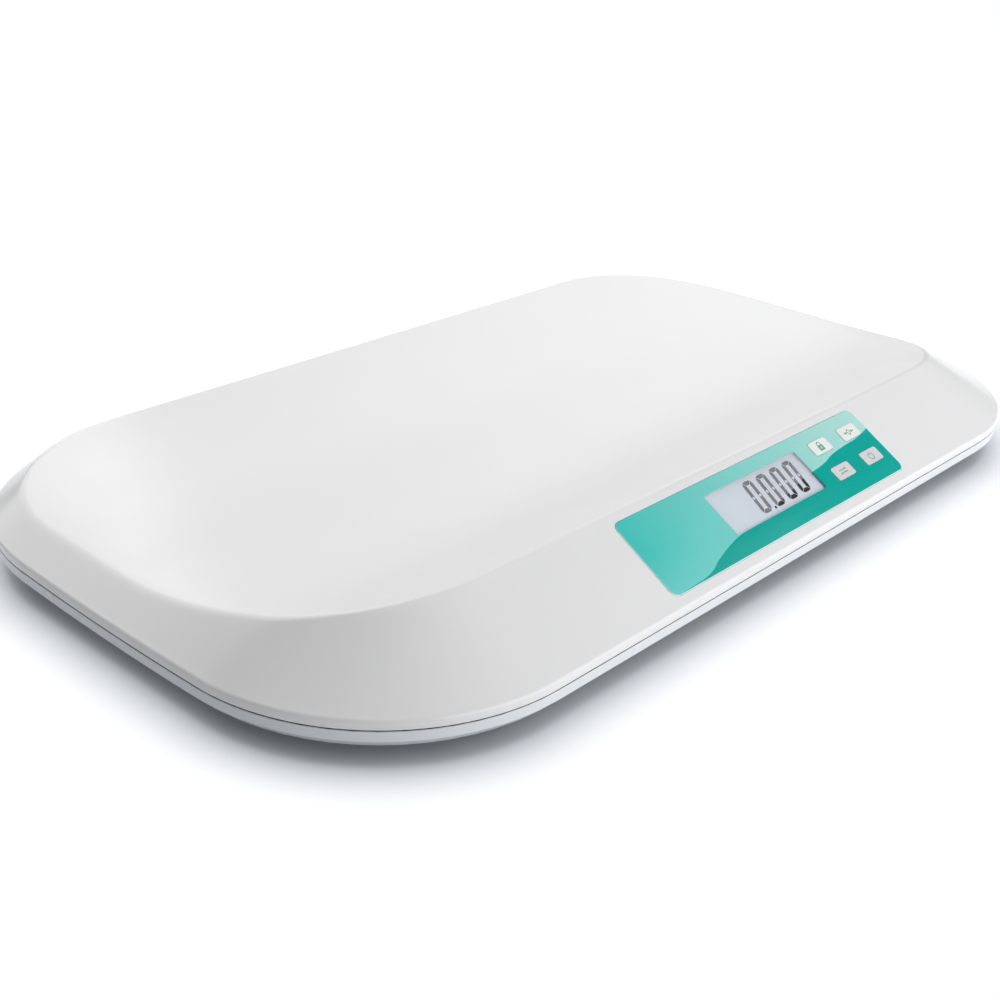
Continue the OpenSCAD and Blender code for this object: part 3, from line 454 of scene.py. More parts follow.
def select_edges(mesh, wanted):
    """In edit mode, selects the edges that pass a test and nothing else."""
    bpy.ops.mesh.select_mode(type="EDGE")
    bpy.ops.mesh.select_all(action="DESELECT")
    for edge in mesh.edges:
        if wanted(edge):
            edge.select_set(True)


def settle(piece, place):
    """Puts a piece where it belongs and leaves its object at the origin."""
    piece.matrix_world = place @ piece.matrix_world
    pick(piece)
    bpy.ops.object.transform_apply()
    return piece


def modify(piece, kind, **settings):
    """Adds a modifier with its settings."""
    modifier = piece.modifiers.new(kind.lower(), kind)
    for name, value in settings.items():
        setattr(modifier, name, value)
    return modifier


def cut(piece, cutter):
    pick(piece)
    modifier = modify(piece, "BOOLEAN", operation="DIFFERENCE", solver="EXACT", object=cutter)
    bpy.ops.object.modifier_apply(modifier=modifier.name)
    bpy.data.objects.remove(cutter)


def joined(name, pieces):
    pick(*pieces)
    bpy.ops.object.join()
    pieces[0].name = pieces[0].data.name = name
    return pieces[0]


def soften(piece, angle=CRISP):
    """Smooth shading, with edges over the angle left crisp."""
    pick(piece)
    bpy.ops.object.shade_smooth_by_angle(angle=angle)


def plate(name, width, height, corner, low, high, edge=0.0, steps=10):
    """A flat plate with rounded corners and, where asked for, a rounded upper edge."""
    clear_selection()
    bpy.ops.mesh.primitive_cube_add(size=1, location=(0, 0, (low + high) / 2),
                                    scale=(width, height, high - low))
    piece = bpy.context.object
    piece.name = piece.data.name = name
    bpy.ops.object.transform_apply(location=True, rotation=False, scale=True)
    mesh = edit(piece)
    if corner:
        select_edges(mesh, lambda e: abs(e.verts[0].co.z - e.verts[1].co.z) > TINY)
        bpy.ops.mesh.bevel(offset=corner, segments=steps, affect="EDGES")
        mesh = bmesh.from_edit_mesh(piece.data)
    if edge:
        select_edges(mesh, lambda e: all(abs(v.co.z - high) < TINY for v in e.verts))
        bpy.ops.mesh.bevel(offset=edge, segments=4, affect="EDGES")
    leave()
    return piece


def line(name, points, width, height, closed=False):
    """A low rounded line through flat points, as a printed stroke."""
    curve = bpy.data.curves.new(name, "CURVE")
    curve.dimensions = "3D"
    curve.bevel_depth = width / 2
    curve.bevel_resolution = 2
    curve.use_fill_caps = True
    spline = curve.splines.new("POLY")
    spline.points.add(len(points) - 1)
    for spot, (x, y) in zip(spline.points, points):
        spot.co = (x, y, 0, 1)
    spline.use_cyclic_u = closed
    pick(new_object(name, curve))
    bpy.ops.object.convert(target="MESH")
    piece = bpy.context.object
    piece.scale.z = height / width
    bpy.ops.object.transform_apply(location=False, rotation=False, scale=True)
    return piece


def arc(radius, start, stop, steps=20, middle=(0, 0)):
    """Points on an arc between two angles in degrees."""
    turns = [math.radians(start + (stop - start) * step / steps) for step in range(steps + 1)]
    return [(middle[0] + radius * math.cos(t), middle[1] + radius * math.sin(t))
            for t in turns]


def loft(name, rings):
    """A closed skin through a stack of rings, each end drawn together into one point."""
    clear_selection()
    bpy.ops.mesh.primitive_circle_add(vertices=len(rings[0]), radius=1)
    piece = bpy.context.object
    piece.name = piece.data.name = name
    mesh = edit(piece)
    station = mesh.verts.layers.int.new("station")
    for index, vertex in enumerate(mesh.verts):
        vertex[station] = index
        vertex.co = rings[0][index]
    bpy.ops.mesh.extrude_region_move()
    bpy.ops.mesh.merge(type="CENTER")
    mesh = bmesh.from_edit_mesh(piece.data)
    select_edges(mesh, lambda e: e.is_boundary)
    bmesh.update_edit_mesh(piece.data)
    for ring in rings[1:]:
        bpy.ops.mesh.extrude_region_move()
        mesh = bmesh.from_edit_mesh(piece.data)
        station = mesh.verts.layers.int["station"]
        for vertex in mesh.verts:
            if vertex.select:
                vertex.co = ring[vertex[station]]
    bpy.ops.mesh.extrude_region_move()
    bpy.ops.mesh.merge(type="CENTER")
    bpy.ops.mesh.select_all(action="SELECT")
    bpy.ops.mesh.normals_make_consistent(inside=False)
    leave()
    return piece


# ---- Frames of reference

def on_slope():
    """The display slope: x along the body, y up the slope from the rim, z out of it."""
    tray = bpy.context.scene.scale_tray
    front = tray.rim_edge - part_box("tray")[1].y
    return (Matrix.Translation((0, front, parting_line() + tray.rim_height))
            @ Matrix.Rotation(tray.front_slope, 4, "X"))


def on_panel(x=0.0, s=0.0):
    """A place on the panel, x from its middle and s up from its lower edge."""
    panel = bpy.context.scene.scale_panel
    return on_slope() @ Matrix.Translation((panel.along + x, panel.up_slope + s, 0))


def key_place(key):
    """Place of a key on the panel: lock and tare above, unit and power below."""
    panel = bpy.context.scene.scale_panel
    column, upper = KEYS.index(key) % 2, KEYS.index(key) < 2
    return (panel.key_x + column * panel.key_pitch_x,
            panel.key_s + upper * panel.key_pitch_s)


def window_place():
    panel = bpy.context.scene.scale_panel
    return panel.window_x, panel.window_s


def key_cutters(low, high):
    """Cutters for the keys' openings, between two heights over the slope."""
    panel = bpy.context.scene.scale_panel
    gap = panel.key_gap
    return [settle(plate("hole", panel.key_width + 2 * gap, panel.key_height + 2 * gap,
                         panel.key_corner + gap, low, high), on_panel(*key_place(key)))
            for key in KEYS]


# ---- Finishes

def blank(name):
    """A new material, its node tree and its shader."""
    finish = bpy.data.materials.new(name)
    finish.use_nodes = True
    return finish, finish.node_tree, finish.node_tree.nodes["Principled BSDF"]


def feed(tree, socket, value):
    """Sets an input to a value or links it to a socket."""
    if isinstance(value, bpy.types.NodeSocket):
        tree.links.new(value, socket)
    elif socket.type == "RGBA":
        socket.default_value = (*value, 1)
    else:
        socket.default_value = value


def fill(tree, node, inputs):
    for name, value in dict(inputs).items():
        feed(tree, node.inputs[name], value)


def add_node(tree, kind, inputs=(), **settings):
    """A node with its settings and its inputs."""
    made = tree.nodes.new(kind)
    for name, value in settings.items():
        setattr(made, name, value)
    fill(tree, made, inputs)
    return made


def math_node(tree, operation, *values):
    return add_node(tree, "ShaderNodeMath", enumerate(values), operation=operation).outputs[0]


def mix_colour(tree, share, first, second):
    return add_node(tree, "ShaderNodeMix", {"Factor": share, 6: first, 7: second},
                    data_type="RGBA").outputs[2]


def spread(tree, value, low, high, new_low=0.0, new_high=1.0):
    """Maps a value from one span to another, held at its ends."""
    return add_node(tree, "ShaderNodeMapRange", {
        "Value": value, "From Min": low, "From Max": high, "To Min": new_low,
        "To Max": new_high}).outputs[0]


def curved(tree, share, spots):
    """Follows a curve through spots whose first values run from 0 to 1."""
    made = add_node(tree, "ShaderNodeFloatCurve", {"Value": share})
    points = made.mapping.curves[0].points
    points[0].location, points[1].location = spots[0], spots[-1]
    for spot in spots[1:-1]:
        points.new(*spot)
    made.mapping.update()
    return made.outputs[0]


def own_place(tree):
    """The place on a piece, in metres."""
    return add_node(tree, "ShaderNodeTexCoord").outputs["Object"]


def axes(tree, place):
    """A place's x, y and z."""
    return add_node(tree, "ShaderNodeSeparateXYZ", {"Vector": place}).outputs


def noise(tree, scale, detail=2.0, stretch=(1, 1, 1)):
    """Even noise over the piece, its scale in features to the metre."""
    mapped = add_node(tree, "ShaderNodeMapping",
                      {"Vector": own_place(tree), "Scale": stretch})
    return add_node(tree, "ShaderNodeTexNoise", {
        "Vector": mapped.outputs[0], "Scale": scale, "Detail": detail}).outputs["Fac"]


def relief(tree, shader, height, distance):
    """A fine relief, its depth in millimetres."""
    bump = add_node(tree, "ShaderNodeBump",
                    {"Height": height, "Distance": distance * MM, "Strength": 1.0})
    fill(tree, shader, {"Normal": bump.outputs[0]})


def rounded_distance(tree, x, y, half_x, half_y, radius):
    """Distance from a rounded rectangle about the origin, negative inside it."""
    over_x = math_node(tree, "SUBTRACT", math_node(tree, "ABSOLUTE", x), half_x - radius)
    over_y = math_node(tree, "SUBTRACT", math_node(tree, "ABSOLUTE", y), half_y - radius)
    outer = [math_node(tree, "POWER", math_node(tree, "MAXIMUM", over, 0.0), 2.0)
             for over in (over_x, over_y)]
    corner = math_node(tree, "SQRT", math_node(tree, "ADD", *outer))
    inner = math_node(tree, "MINIMUM", math_node(tree, "MAXIMUM", over_x, over_y), 0.0)
    return math_node(tree, "SUBTRACT", math_node(tree, "ADD", corner, inner), radius)


def darker(colour, share):
    return tuple(channel * share for channel in colour)


def moulded(name, colour, roughness, grain=700, depth=0.01, seam_shade=(), gloss=0.5):
    """Moulded plastic: a faint unevenness of tone and gloss, and a fine grain.

    Where asked for, painted shade along the joint between two mouldings: two heights over the
    parting line, in millimetres, at which the finish is unshaded and at which it is painted
    dark.
    """
    finish, tree, shader = blank(name)
    mixed = mix_colour(tree, spread(tree, noise(tree, 14, 3), 0, 1), darker(colour, 0.97),
                       colour)
    # Painted shade in the joint between the mouldings, near black between the two heights
    if seam_shade:
        unshaded, dark = (parting_line() + offset * MM for offset in seam_shade)
        height = axes(tree, own_place(tree))[2]
        mixed = mix_colour(tree, spread(tree, height, unshaded, dark), mixed,
                           darker(colour, 0.03))
    rough = spread(tree, noise(tree, 45, 3), 0, 1, roughness * 0.7, roughness * 1.3)
    fill(tree, shader, {"Base Color": mixed, "Roughness": rough, "IOR": 1.5,
                        "Specular IOR Level": gloss})
    relief(tree, shader, noise(tree, grain, 2), depth)
    return finish


def rubber(name, colour):
    finish, tree, shader = blank(name)
    speckle = spread(tree, noise(tree, 1500, 4), 0.4, 0.7)
    fill(tree, shader, {
        "Base Color": mix_colour(tree, speckle, darker(colour, 0.8), colour),
        "Roughness": spread(tree, speckle, 0, 1, 0.62, 0.8), "Specular IOR Level": 0.35})
    relief(tree, shader, noise(tree, 2200, 3), 0.04)
    return finish


def metal(name, colour, roughness, stretch=(1, 1, 1)):
    """Plated or brushed metal, brushed along the axis of the lowest stretch."""
    finish, tree, shader = blank(name)
    lines = noise(tree, 400, 4, stretch)
    share = spread(tree, lines, 0.3, 0.7)
    fill(tree, shader, {
        "Base Color": mix_colour(tree, share, darker(colour, 0.86), colour),
        "Roughness": spread(tree, share, 0, 1, roughness * 0.8, roughness * 1.25),
        "Metallic": 1})
    relief(tree, shader, lines, 0.01)
    return finish


def banded(name, colour, cap, low, high):
    """A printed sleeve from low to high along X, with plain metal ends."""
    finish, tree, shader = blank(name)
    across = axes(tree, own_place(tree))[0]
    inner = math_node(tree, "MULTIPLY", math_node(tree, "GREATER_THAN", across, low),
                      math_node(tree, "LESS_THAN", across, high))
    scuffs = spread(tree, noise(tree, 160, 4), 0.35, 0.75)
    sleeve = mix_colour(tree, scuffs, darker(colour, 0.8), colour)
    fill(tree, shader, {"Base Color": mix_colour(tree, inner, cap, sleeve),
                        "Metallic": spread(tree, inner, 0, 1, 1, 0),
                        "Roughness": spread(tree, scuffs, 0, 1, 0.25, 0.4)})
    return finish


def circuit_board(name):
    """Green solder mask with the faint lines of the copper under it."""
    finish, tree, shader = blank(name)
    tracks = add_node(tree, "ShaderNodeTexBrick", {
        "Vector": own_place(tree), "Scale": 120.0, "Mortar Size": 0.03,
        "Color1": (0.012, 0.12, 0.045), "Color2": (0.016, 0.15, 0.06),
        "Mortar": (0.03, 0.24, 0.1)})
    fill(tree, shader, {"Base Color": tracks.outputs["Color"],
                        "Roughness": spread(tree, noise(tree, 90), 0.3, 0.7, 0.3, 0.45)})
    return finish


# The lower edge of the light field, a painted reflection: shares of the panel's width and of
# its height
FIELD_EDGE = ((0, 0.004), (0.067, 0.02), (0.118, 0.03), (0.152, 0.058), (0.192, 0.126),
              (0.257, 0.207), (0.308, 0.25), (0.36, 0.263), (0.48, 0.35), (0.59, 0.44),
              (0.65, 0.49), (0.7, 0.502), (0.754, 0.53), (0.804, 0.578), (0.87, 0.604),
              (0.93, 0.618), (1, 0.675))


# Painted shadow round the scale, as how brightly the floor shows: shares of the shade's width
# and of full white
PAINTED_FLOOR_SHADOW = ((0, 0.045), (0.36, 0.13), (0.52, 0.44), (0.75, 0.72), (1, 0.88))


class PanelPlace:
    """Sockets for a place on the panel: x and s, the share of the panel's width, the height
    over the edge of the light field, a painted reflection, and whether it is in the field."""

    # Softness of the field's edge, insets of the painted highlight on the rim, and where that
    # highlight ends below the top
    blur, lit, top_span = 0.08 * MM, (-0.55 * MM, -0.25 * MM), (MM, 5 * MM)

    def __init__(self, tree):
        panel = bpy.context.scene.scale_panel
        turn = Matrix.Rotation(-bpy.context.scene.scale_tray.front_slope, 4, "X")
        shift = -(turn @ on_panel().translation)
        mapped = add_node(tree, "ShaderNodeMapping", {
            "Vector": own_place(tree), "Location": shift, "Rotation": turn.to_euler()})
        self.x, self.s, _ = axes(tree, mapped.outputs[0])
        self.share = spread(tree, self.x, -panel.width / 2, panel.width / 2)
        edge = math_node(tree, "MULTIPLY", curved(tree, self.share, FIELD_EDGE), panel.height)
        self.over = math_node(tree, "SUBTRACT", self.s, edge)
        self.field = spread(tree, self.over, -self.blur, self.blur)

    def rim(self, tree):
        """1 on the panel's very edge, where the painted highlight goes."""
        panel = bpy.context.scene.scale_panel
        up = math_node(tree, "SUBTRACT", self.s, panel.height / 2)
        inward = rounded_distance(tree, self.x, up, panel.width / 2, panel.height / 2,
                                  panel.corner)
        return spread(tree, inward, *self.lit)

    def below_top(self, tree):
        """0 along the panel's upper side, and 1 along the others, which get the painted
        highlight.
        """
        height = bpy.context.scene.scale_panel.height
        return spread(tree, self.s, *(height - below for below in self.top_span))


def printed_film_and_sheen(name):
    """Glossy film printed deep teal below, and above it a painted reflection that pales to the
    right.
    """
    colours = bpy.context.scene.scale_finish
    finish, tree, shader = blank(name)
    place = PanelPlace(tree)
    pale = mix_colour(tree, place.share, colours.sheen_left, colours.sheen_right)
    # The lower left part of the painted reflection: how far it reaches up and along, and its
    # strength
    up, along, strength = 22 * MM, 0.55, 0.75
    low_left = math_node(tree, "MULTIPLY", spread(tree, place.over, up, 0, 0, strength),
                         spread(tree, place.share, along, 0))
    glow = mix_colour(tree, low_left, pale, colours.sheen_low)
    # Print below the light field, painted reflection in it
    mixed = mix_colour(tree, place.field, colours.print_deep, glow)
    grain = spread(tree, noise(tree, 900, 2), 0.3, 0.7, 0.97, 1.0)
    toned = mix_colour(tree, grain, (0, 0, 0), mixed)
    # Painted highlight: the panel's edge lightened on every side but the upper one
    lit = math_node(tree, "MULTIPLY", place.rim(tree), place.below_top(tree))
    fill(tree, shader, {"Base Color": mix_colour(tree, lit, toned, colours.edge_highlight),
                        "Roughness": spread(tree, noise(tree, 60), 0.3, 0.7, 0.16, 0.24),
                        "Specular IOR Level": 0.1})
    return finish


def clear_window(name):
    """Clear glossy window with a whitish painted reflection, faint below the panel's light
    field and stronger in it.
    """
    finish, tree, shader = blank(name)
    # Painted reflection: more of the whitish film shows in the light field
    reflection_share = spread(tree, PanelPlace(tree).field, 0, 1, 0.02, 0.15)
    fill(tree, shader, {"Base Color": bpy.context.scene.scale_finish.window, "Alpha": reflection_share,
                        "Roughness": spread(tree, noise(tree, 60), 0.3, 0.7, 0.08, 0.14),
                        "Specular IOR Level": 0.15})
    return finish


def display_ground(name):
    """Pale ground of the display: bluish on the left, lilac on the right and at its rim."""
    colours = bpy.context.scene.scale_finish
    panel = bpy.context.scene.scale_panel
    finish, tree, shader = blank(name)
    place = PanelPlace(tree)
    lilac = mix_colour(tree, place.share, colours.display, colours.display_right)
    sides = ((place.x, panel.window_x, panel.window_width / 2, 4 * MM),
             (place.s, panel.window_s, panel.window_height / 2, 3 * MM))
    near = [spread(tree, math_node(tree, "ABSOLUTE", math_node(tree, "SUBTRACT", at, middle)),
                   half - rim, half) for at, middle, half, rim in sides]
    share = math_node(tree, "MULTIPLY", math_node(tree, "MAXIMUM", *near), 0.55)
    mixed = mix_colour(tree, share, lilac, colours.display_rim)
    speckle = spread(tree, noise(tree, 2400, 2), 0.3, 0.7, 0.96, 1.0)
    fill(tree, shader, {"Base Color": mix_colour(tree, speckle, (0, 0, 0), mixed),
                        "Roughness": 0.35})
    return finish


def smooth_shading():
    """A node group that shades a mesh smooth, with edges over an angle left crisp."""
    if "smooth shading" in bpy.data.node_groups:
        return bpy.data.node_groups["smooth shading"]
    tree = bpy.data.node_groups.new("smooth shading", "GeometryNodeTree")
    for way in ("INPUT", "OUTPUT"):
        tree.interface.new_socket("Geometry", in_out=way, socket_type="NodeSocketGeometry")
    shape = add_node(tree, "NodeGroupInput").outputs[0]
    angle = add_node(tree, "GeometryNodeInputMeshEdgeAngle").outputs[0]
    crisp = add_node(tree, "FunctionNodeCompare", {0: angle, 1: CRISP},
                     operation="GREATER_THAN").outputs[0]
    shaded = add_node(tree, "GeometryNodeSetMeshNormal", {
        "Mesh": shape, "Remove Custom": True, "Edge Sharpness": crisp,
        "Face Sharpness": False}).outputs[0]
    add_node(tree, "NodeGroupOutput", {0: shaded})
    return tree


def dress(nodes, finish, edge=0.0):
    """Gives CAD nodes a finish and, where asked for, softened edges."""
    for name in nodes:
        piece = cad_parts[name]
        piece.data.materials.clear()
        piece.data.materials.append(finish)
        if edge:
            modify(piece, "WELD", merge_threshold=TINY / 2)
            modify(piece, "NODES", node_group=smooth_shading())
            modify(piece, "BEVEL", width=edge * MM, segments=2, limit_method="ANGLE",
                   angle_limit=CRISP)
            modify(piece, "WEIGHTED_NORMAL", keep_sharp=True)


def give(piece, finish, body, slot, *nodes):
    """Finish and body of a new piece, and the CAD nodes that it stands for, which are hidden.
    The slot is not used.
    """
    piece.data.materials.clear()
    piece.data.materials.append(finish)
    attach(piece, body)
    if nodes:
        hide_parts(*nodes)


# ---- Operators

class WEIGHING_OT_tray(bpy.types.Operator):
    """Builds the tray with its dish, crests, display slope and rim"""
    bl_idname = "weighing.tray"
    bl_label = "Tray"

    def execute(self, context):
        skin = Skin(context.scene.scale_tray)
        tray = loft("tray_shell", skin.outside() + skin.inside())
        self.cut_pocket(tray, context.scene.scale_panel)
        soften(tray)
        # Painted shade along the tray's lower edge, in the joint with the base
        finish = moulded("shell white", context.scene.scale_finish.shell, 0.22,
                         seam_shade=(0.2, 0.1))
        give(tray, finish, "casing", "shell_white", "tray")
        return {"FINISHED"}

    def cut_pocket(self, tray, panel):
        """The panel's pocket, and in its floor the openings for the display and the keys."""
        gap, rim = panel.pocket_gap, 2 * panel.glass_rim
        floor = panel.proud - panel.thickness
        above, below = 2 * MM, -6 * MM
        pocket = plate("pocket", panel.width + 2 * gap, panel.height + 2 * gap,
                       panel.corner + gap, floor, above)
        cut(tray, settle(pocket, on_panel(0, panel.height / 2)))
        opening = plate("opening", panel.window_width + rim, panel.window_height + rim,
                        0, below, floor / 2)
        openings = [settle(opening, on_panel(*window_place())), *key_cutters(below, floor / 2)]
        cut(tray, joined("openings", openings))


class WEIGHING_OT_panel(bpy.types.Operator):
    """Builds the printed panel with its openings for the display and the keys"""
    bl_idname = "weighing.panel"
    bl_label = "Printed panel"

    def execute(self, context):
        panel = context.scene.scale_panel
        low = panel.proud - panel.thickness
        film = plate("printed_panel", panel.width, panel.height, panel.corner, low,
                     panel.proud, panel.edge, steps=14)
        settle(film, on_panel(0, panel.height / 2))
        gap = panel.pocket_gap
        window = plate("hole", panel.window_width + gap, panel.window_height + gap,
                       panel.key_corner, low - MM, panel.proud + MM)
        holes = [settle(window, on_panel(*window_place())),
                 *key_cutters(low - MM, panel.proud + MM)]
        cut(film, joined("holes", holes))
        soften(film)
        give(film, printed_film_and_sheen("printed film"), "casing", "panel_teal", "panel_overlay")
        return {"FINISHED"}


class WEIGHING_OT_display(bpy.types.Operator):
    """Builds the clear window and the digits that show under it"""
    bl_idname = "weighing.display"
    bl_label = "Display"
    # Width of a notch to its height, and a corner's inset as a share of its radius
    notch_stretch, corner_share = 1.6, 0.3
    # Rounding of the window's upper edge, and the gap between the window and the digits
    window_edge, digit_gap = 0.15 * MM, 0.1 * MM

    def execute(self, context):
        panel = context.scene.scale_panel
        low = panel.proud - panel.thickness
        window = plate("display_window", panel.window_width, panel.window_height,
                       panel.key_corner, low, panel.proud, self.window_edge)
        settle(window, on_panel(*window_place()))
        soften(window)
        give(window, clear_window("clear window"), "casing", "lens_clear", "display_lens")
        self.build_digits(context, low - self.digit_gap)
        dress(["lcd_glass"], display_ground("display ground"))
        return {"FINISHED"}

    def build_digits(self, context, ground):
        digits = context.scene.scale_digits
        zeros = [self.build_zero(digits, ground)]
        for place in range(1, 4):
            zeros.append(new_object("zero", zeros[0].data.copy()))
            zeros[-1].location.x = place * digits.pitch
        dot = plate("dot", digits.dot, digits.dot, digits.dot_corner, ground,
                    ground + digits.depth)
        dot.location = (digits.pitch / 2 + digits.dot_shift,
                        digits.dot_shift - digits.height / 2, 0)
        row = joined("display_digits", zeros + [dot])
        bpy.ops.object.transform_apply()
        lean = Matrix.Identity(4)
        lean[0][1] = math.tan(digits.slant)
        row.data.transform(lean)
        window_x, window_s = window_place()
        settle(row, on_panel(window_x + digits.first_x, window_s + digits.up))
        soften(row)
        finish = moulded("display segment", context.scene.scale_finish.segment, 0.5, gloss=0.1)
        give(row, finish, "casing", "lcd_grey")

    def build_zero(self, digits, ground):
        """A zero of six strokes: a rounded ring, parted at its corners and sides."""
        top = ground + digits.depth
        low, high = ground - MM, top + MM
        inner = 2 * digits.stroke
        zero = plate("zero", digits.width, digits.height, digits.corner, ground, top)
        middle = plate("middle", digits.width - inner, digits.height - inner,
                       digits.corner - digits.stroke, low, high, steps=6)
        cut(zero, middle)
        slits = []
        for side in (-1, 1):
            notch = plate("notch", digits.notch, digits.notch, 0, low, high)
            turn = Matrix.Rotation(math.radians(45), 4, "Z")
            place = Matrix.Translation((side * (digits.width - digits.stroke) / 2, 0, 0))
            wider = Matrix.Scale(self.notch_stretch, 4, (1, 0, 0))
            slits.append(settle(notch, place @ wider @ turn))
            for end in (-1, 1):
                slit = plate("slit", digits.slit, digits.gap, 0, low, high)
                turn = Matrix.Rotation(math.radians(45 * side * end), 4, "Z")
                reach = digits.corner * self.corner_share + digits.stroke / 2
                place = Matrix.Translation((side * (digits.width / 2 - reach),
                                            end * (digits.height / 2 - reach), 0))
                slits.append(settle(slit, place @ turn))
        for slit in slits:
            cut(zero, slit)
        return zero


class WEIGHING_OT_keys(bpy.types.Operator):
    """Gives the keys their finish and the marks printed on them"""
    bl_idname = "weighing.keys"
    bl_label = "Keys"
    stroke, print_depth, crisp = 0.6 * MM, 0.04 * MM, math.radians(60)

    def execute(self, context):
        colours = context.scene.scale_finish
        # The upper keys get the lit copy of the white, in the painted reflection; the lower
        # keys the copy in painted shade
        dress(["key_lock", "key_tare"], moulded("key white", colours.key, 0.3), 0.2)
        dress(["key_unit", "key_power"], moulded("key grey", colours.key_shaded, 0.3), 0.2)
        ink = moulded("key ink", colours.icon, 0.5)
        proud = Matrix.Translation((0, 0, context.scene.scale_panel.key_proud))
        for key in KEYS:
            mark = joined(f"mark_{key}", getattr(self, key)())
            settle(mark, on_panel(*key_place(key)) @ proud)
            soften(mark, self.crisp)
            give(mark, ink, f"key_{key}", "panel_teal")
        return {"FINISHED"}

    def trace(self, points, closed=False):
        return line("stroke", points, self.stroke, self.print_depth, closed)

    def lock(self):
        """A padlock: body, bow and keyhole."""
        half, low, high = 1.85 * MM, -2.25 * MM, 0.6 * MM
        body = [(-half, low), (half, low), (half, high), (-half, high)]
        bow_r, rise = 1.25 * MM, 0.8 * MM
        bow = [(bow_r, high), *arc(bow_r, 0, 180, middle=(0, high + rise)), (-bow_r, high)]
        filling = plate("filling", 2 * half, high - low, 0, 0, self.print_depth / 2)
        keyhole = plate("keyhole", 0.8 * MM, 1.4 * MM, 0, -MM, MM)
        cut(filling, keyhole)
        filling.location.y = (low + high) / 2
        return [filling, self.trace(body, True), self.trace(bow)]

    def tare(self):
        """A zero with an arrow from either side."""
        half, narrowing, barb = 1.5 * MM, 0.62, 0.8 * MM
        zero = [(x * narrowing, y) for x, y in arc(half, 0, 342)]
        parts = [self.trace(zero, True)]
        for side in (-1, 1):
            tip, tail = side * 1.9 * MM, side * 4.4 * MM
            parts.append(self.trace([(tail, 0), (tip, 0)]))
            parts.append(self.trace([(tip + side * barb, barb), (tip, 0),
                                    (tip + side * barb, -barb)]))
        return parts

    def unit(self):
        """Two arrows that point opposite ways."""
        parts = []
        for side in (-1, 1):
            y, reach, barb = side * 0.85 * MM, side * 3 * MM, 0.8 * MM
            parts.append(self.trace([(-reach, y), (reach, y)]))
            parts.append(self.trace([(reach - side * barb, y + side * barb), (reach, y)]))
        return parts

    def power(self):
        """An open ring with a bar in its gap."""
        radius, low, high = 2.0 * MM, 0.4 * MM, 2.5 * MM
        return [self.trace(arc(radius, 120, 420)), self.trace([(0, low), (0, high)])]


class WEIGHING_OT_base(bpy.types.Operator):
    """Finishes the base, its feet and load cells, the battery door and the screws"""
    bl_idname = "weighing.base"
    bl_label = "Base and feet"

    def execute(self, context):
        colours = context.scene.scale_finish
        # Painted shade along the base's upper edge, in the joint with the tray
        dress(["base_pan"], moulded("base white", colours.base, 0.25, seam_shade=(-0.6, -0.45)), 0.15)
        dress(["battery_door"], moulded("door white", colours.base, 0.25), 0.15)
        steel = metal("plated steel", (0.62, 0.62, 0.64), 0.3)
        corner_parts = {
            "foot": (moulded("foot grey", colours.foot, 0.45, grain=1100, depth=0.03), 0.3),
            "foot_pad": (rubber("pad rubber", colours.pad), 0.2),
            "load_cell": (metal("brushed steel", (0.55, 0.56, 0.58), 0.35, (1, 12, 1)), 0.15),
            "cell_clamp": (moulded("clamp white", (0.72, 0.72, 0.71), 0.5, grain=1100,
                                   depth=0.03), 0.3),
            "foot_screw": (steel, 0.1),
            "cell_lead": (rubber("lead sheath", (0.3, 0.3, 0.32)), 0)}
        for part, (finish, edge) in corner_parts.items():
            dress([f"{part}_{corner}" for corner in CORNERS], finish, edge)
        dress(["casing_screws", "cell_screws", "board_screws"], steel, 0.1)
        dress(["battery_lead"], rubber("red sheath", (0.5, 0.02, 0.015)))
        return {"FINISHED"}


class WEIGHING_OT_inside(bpy.types.Operator):
    """Finishes the circuit board, the display's carrier and the batteries"""
    bl_idname = "weighing.inside"
    bl_label = "Electronics and batteries"

    def execute(self, context):
        dress(["main_board"], circuit_board("solder mask"))
        black = moulded("chip black", (0.02, 0.02, 0.024), 0.5, grain=1500, depth=0.03)
        dress(["board_chips", "switch_bodies"], black, 0.15)
        carrier = moulded("carrier white", (0.78, 0.78, 0.77), 0.45)
        dress(["lcd_frame", "backlight", "board_connector"], carrier, 0.15)
        dress(["contact_strips"], rubber("strip rubber", (0.62, 0.3, 0.36)))
        dress([f"plunger_{key}" for key in KEYS], metal("plunger brass", (0.8, 0.6, 0.25), 0.3))
        low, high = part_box("batteries")
        cap = 1.2 * MM
        dress(["batteries"], banded("battery sleeve", (0.04, 0.16, 0.08), (0.7, 0.7, 0.72),
                                    low.x + cap, high.x - cap), 0.2)
        dress(["battery_springs", "battery_plates"],
              metal("nickel contact", (0.7, 0.68, 0.62), 0.25))
        return {"FINISHED"}


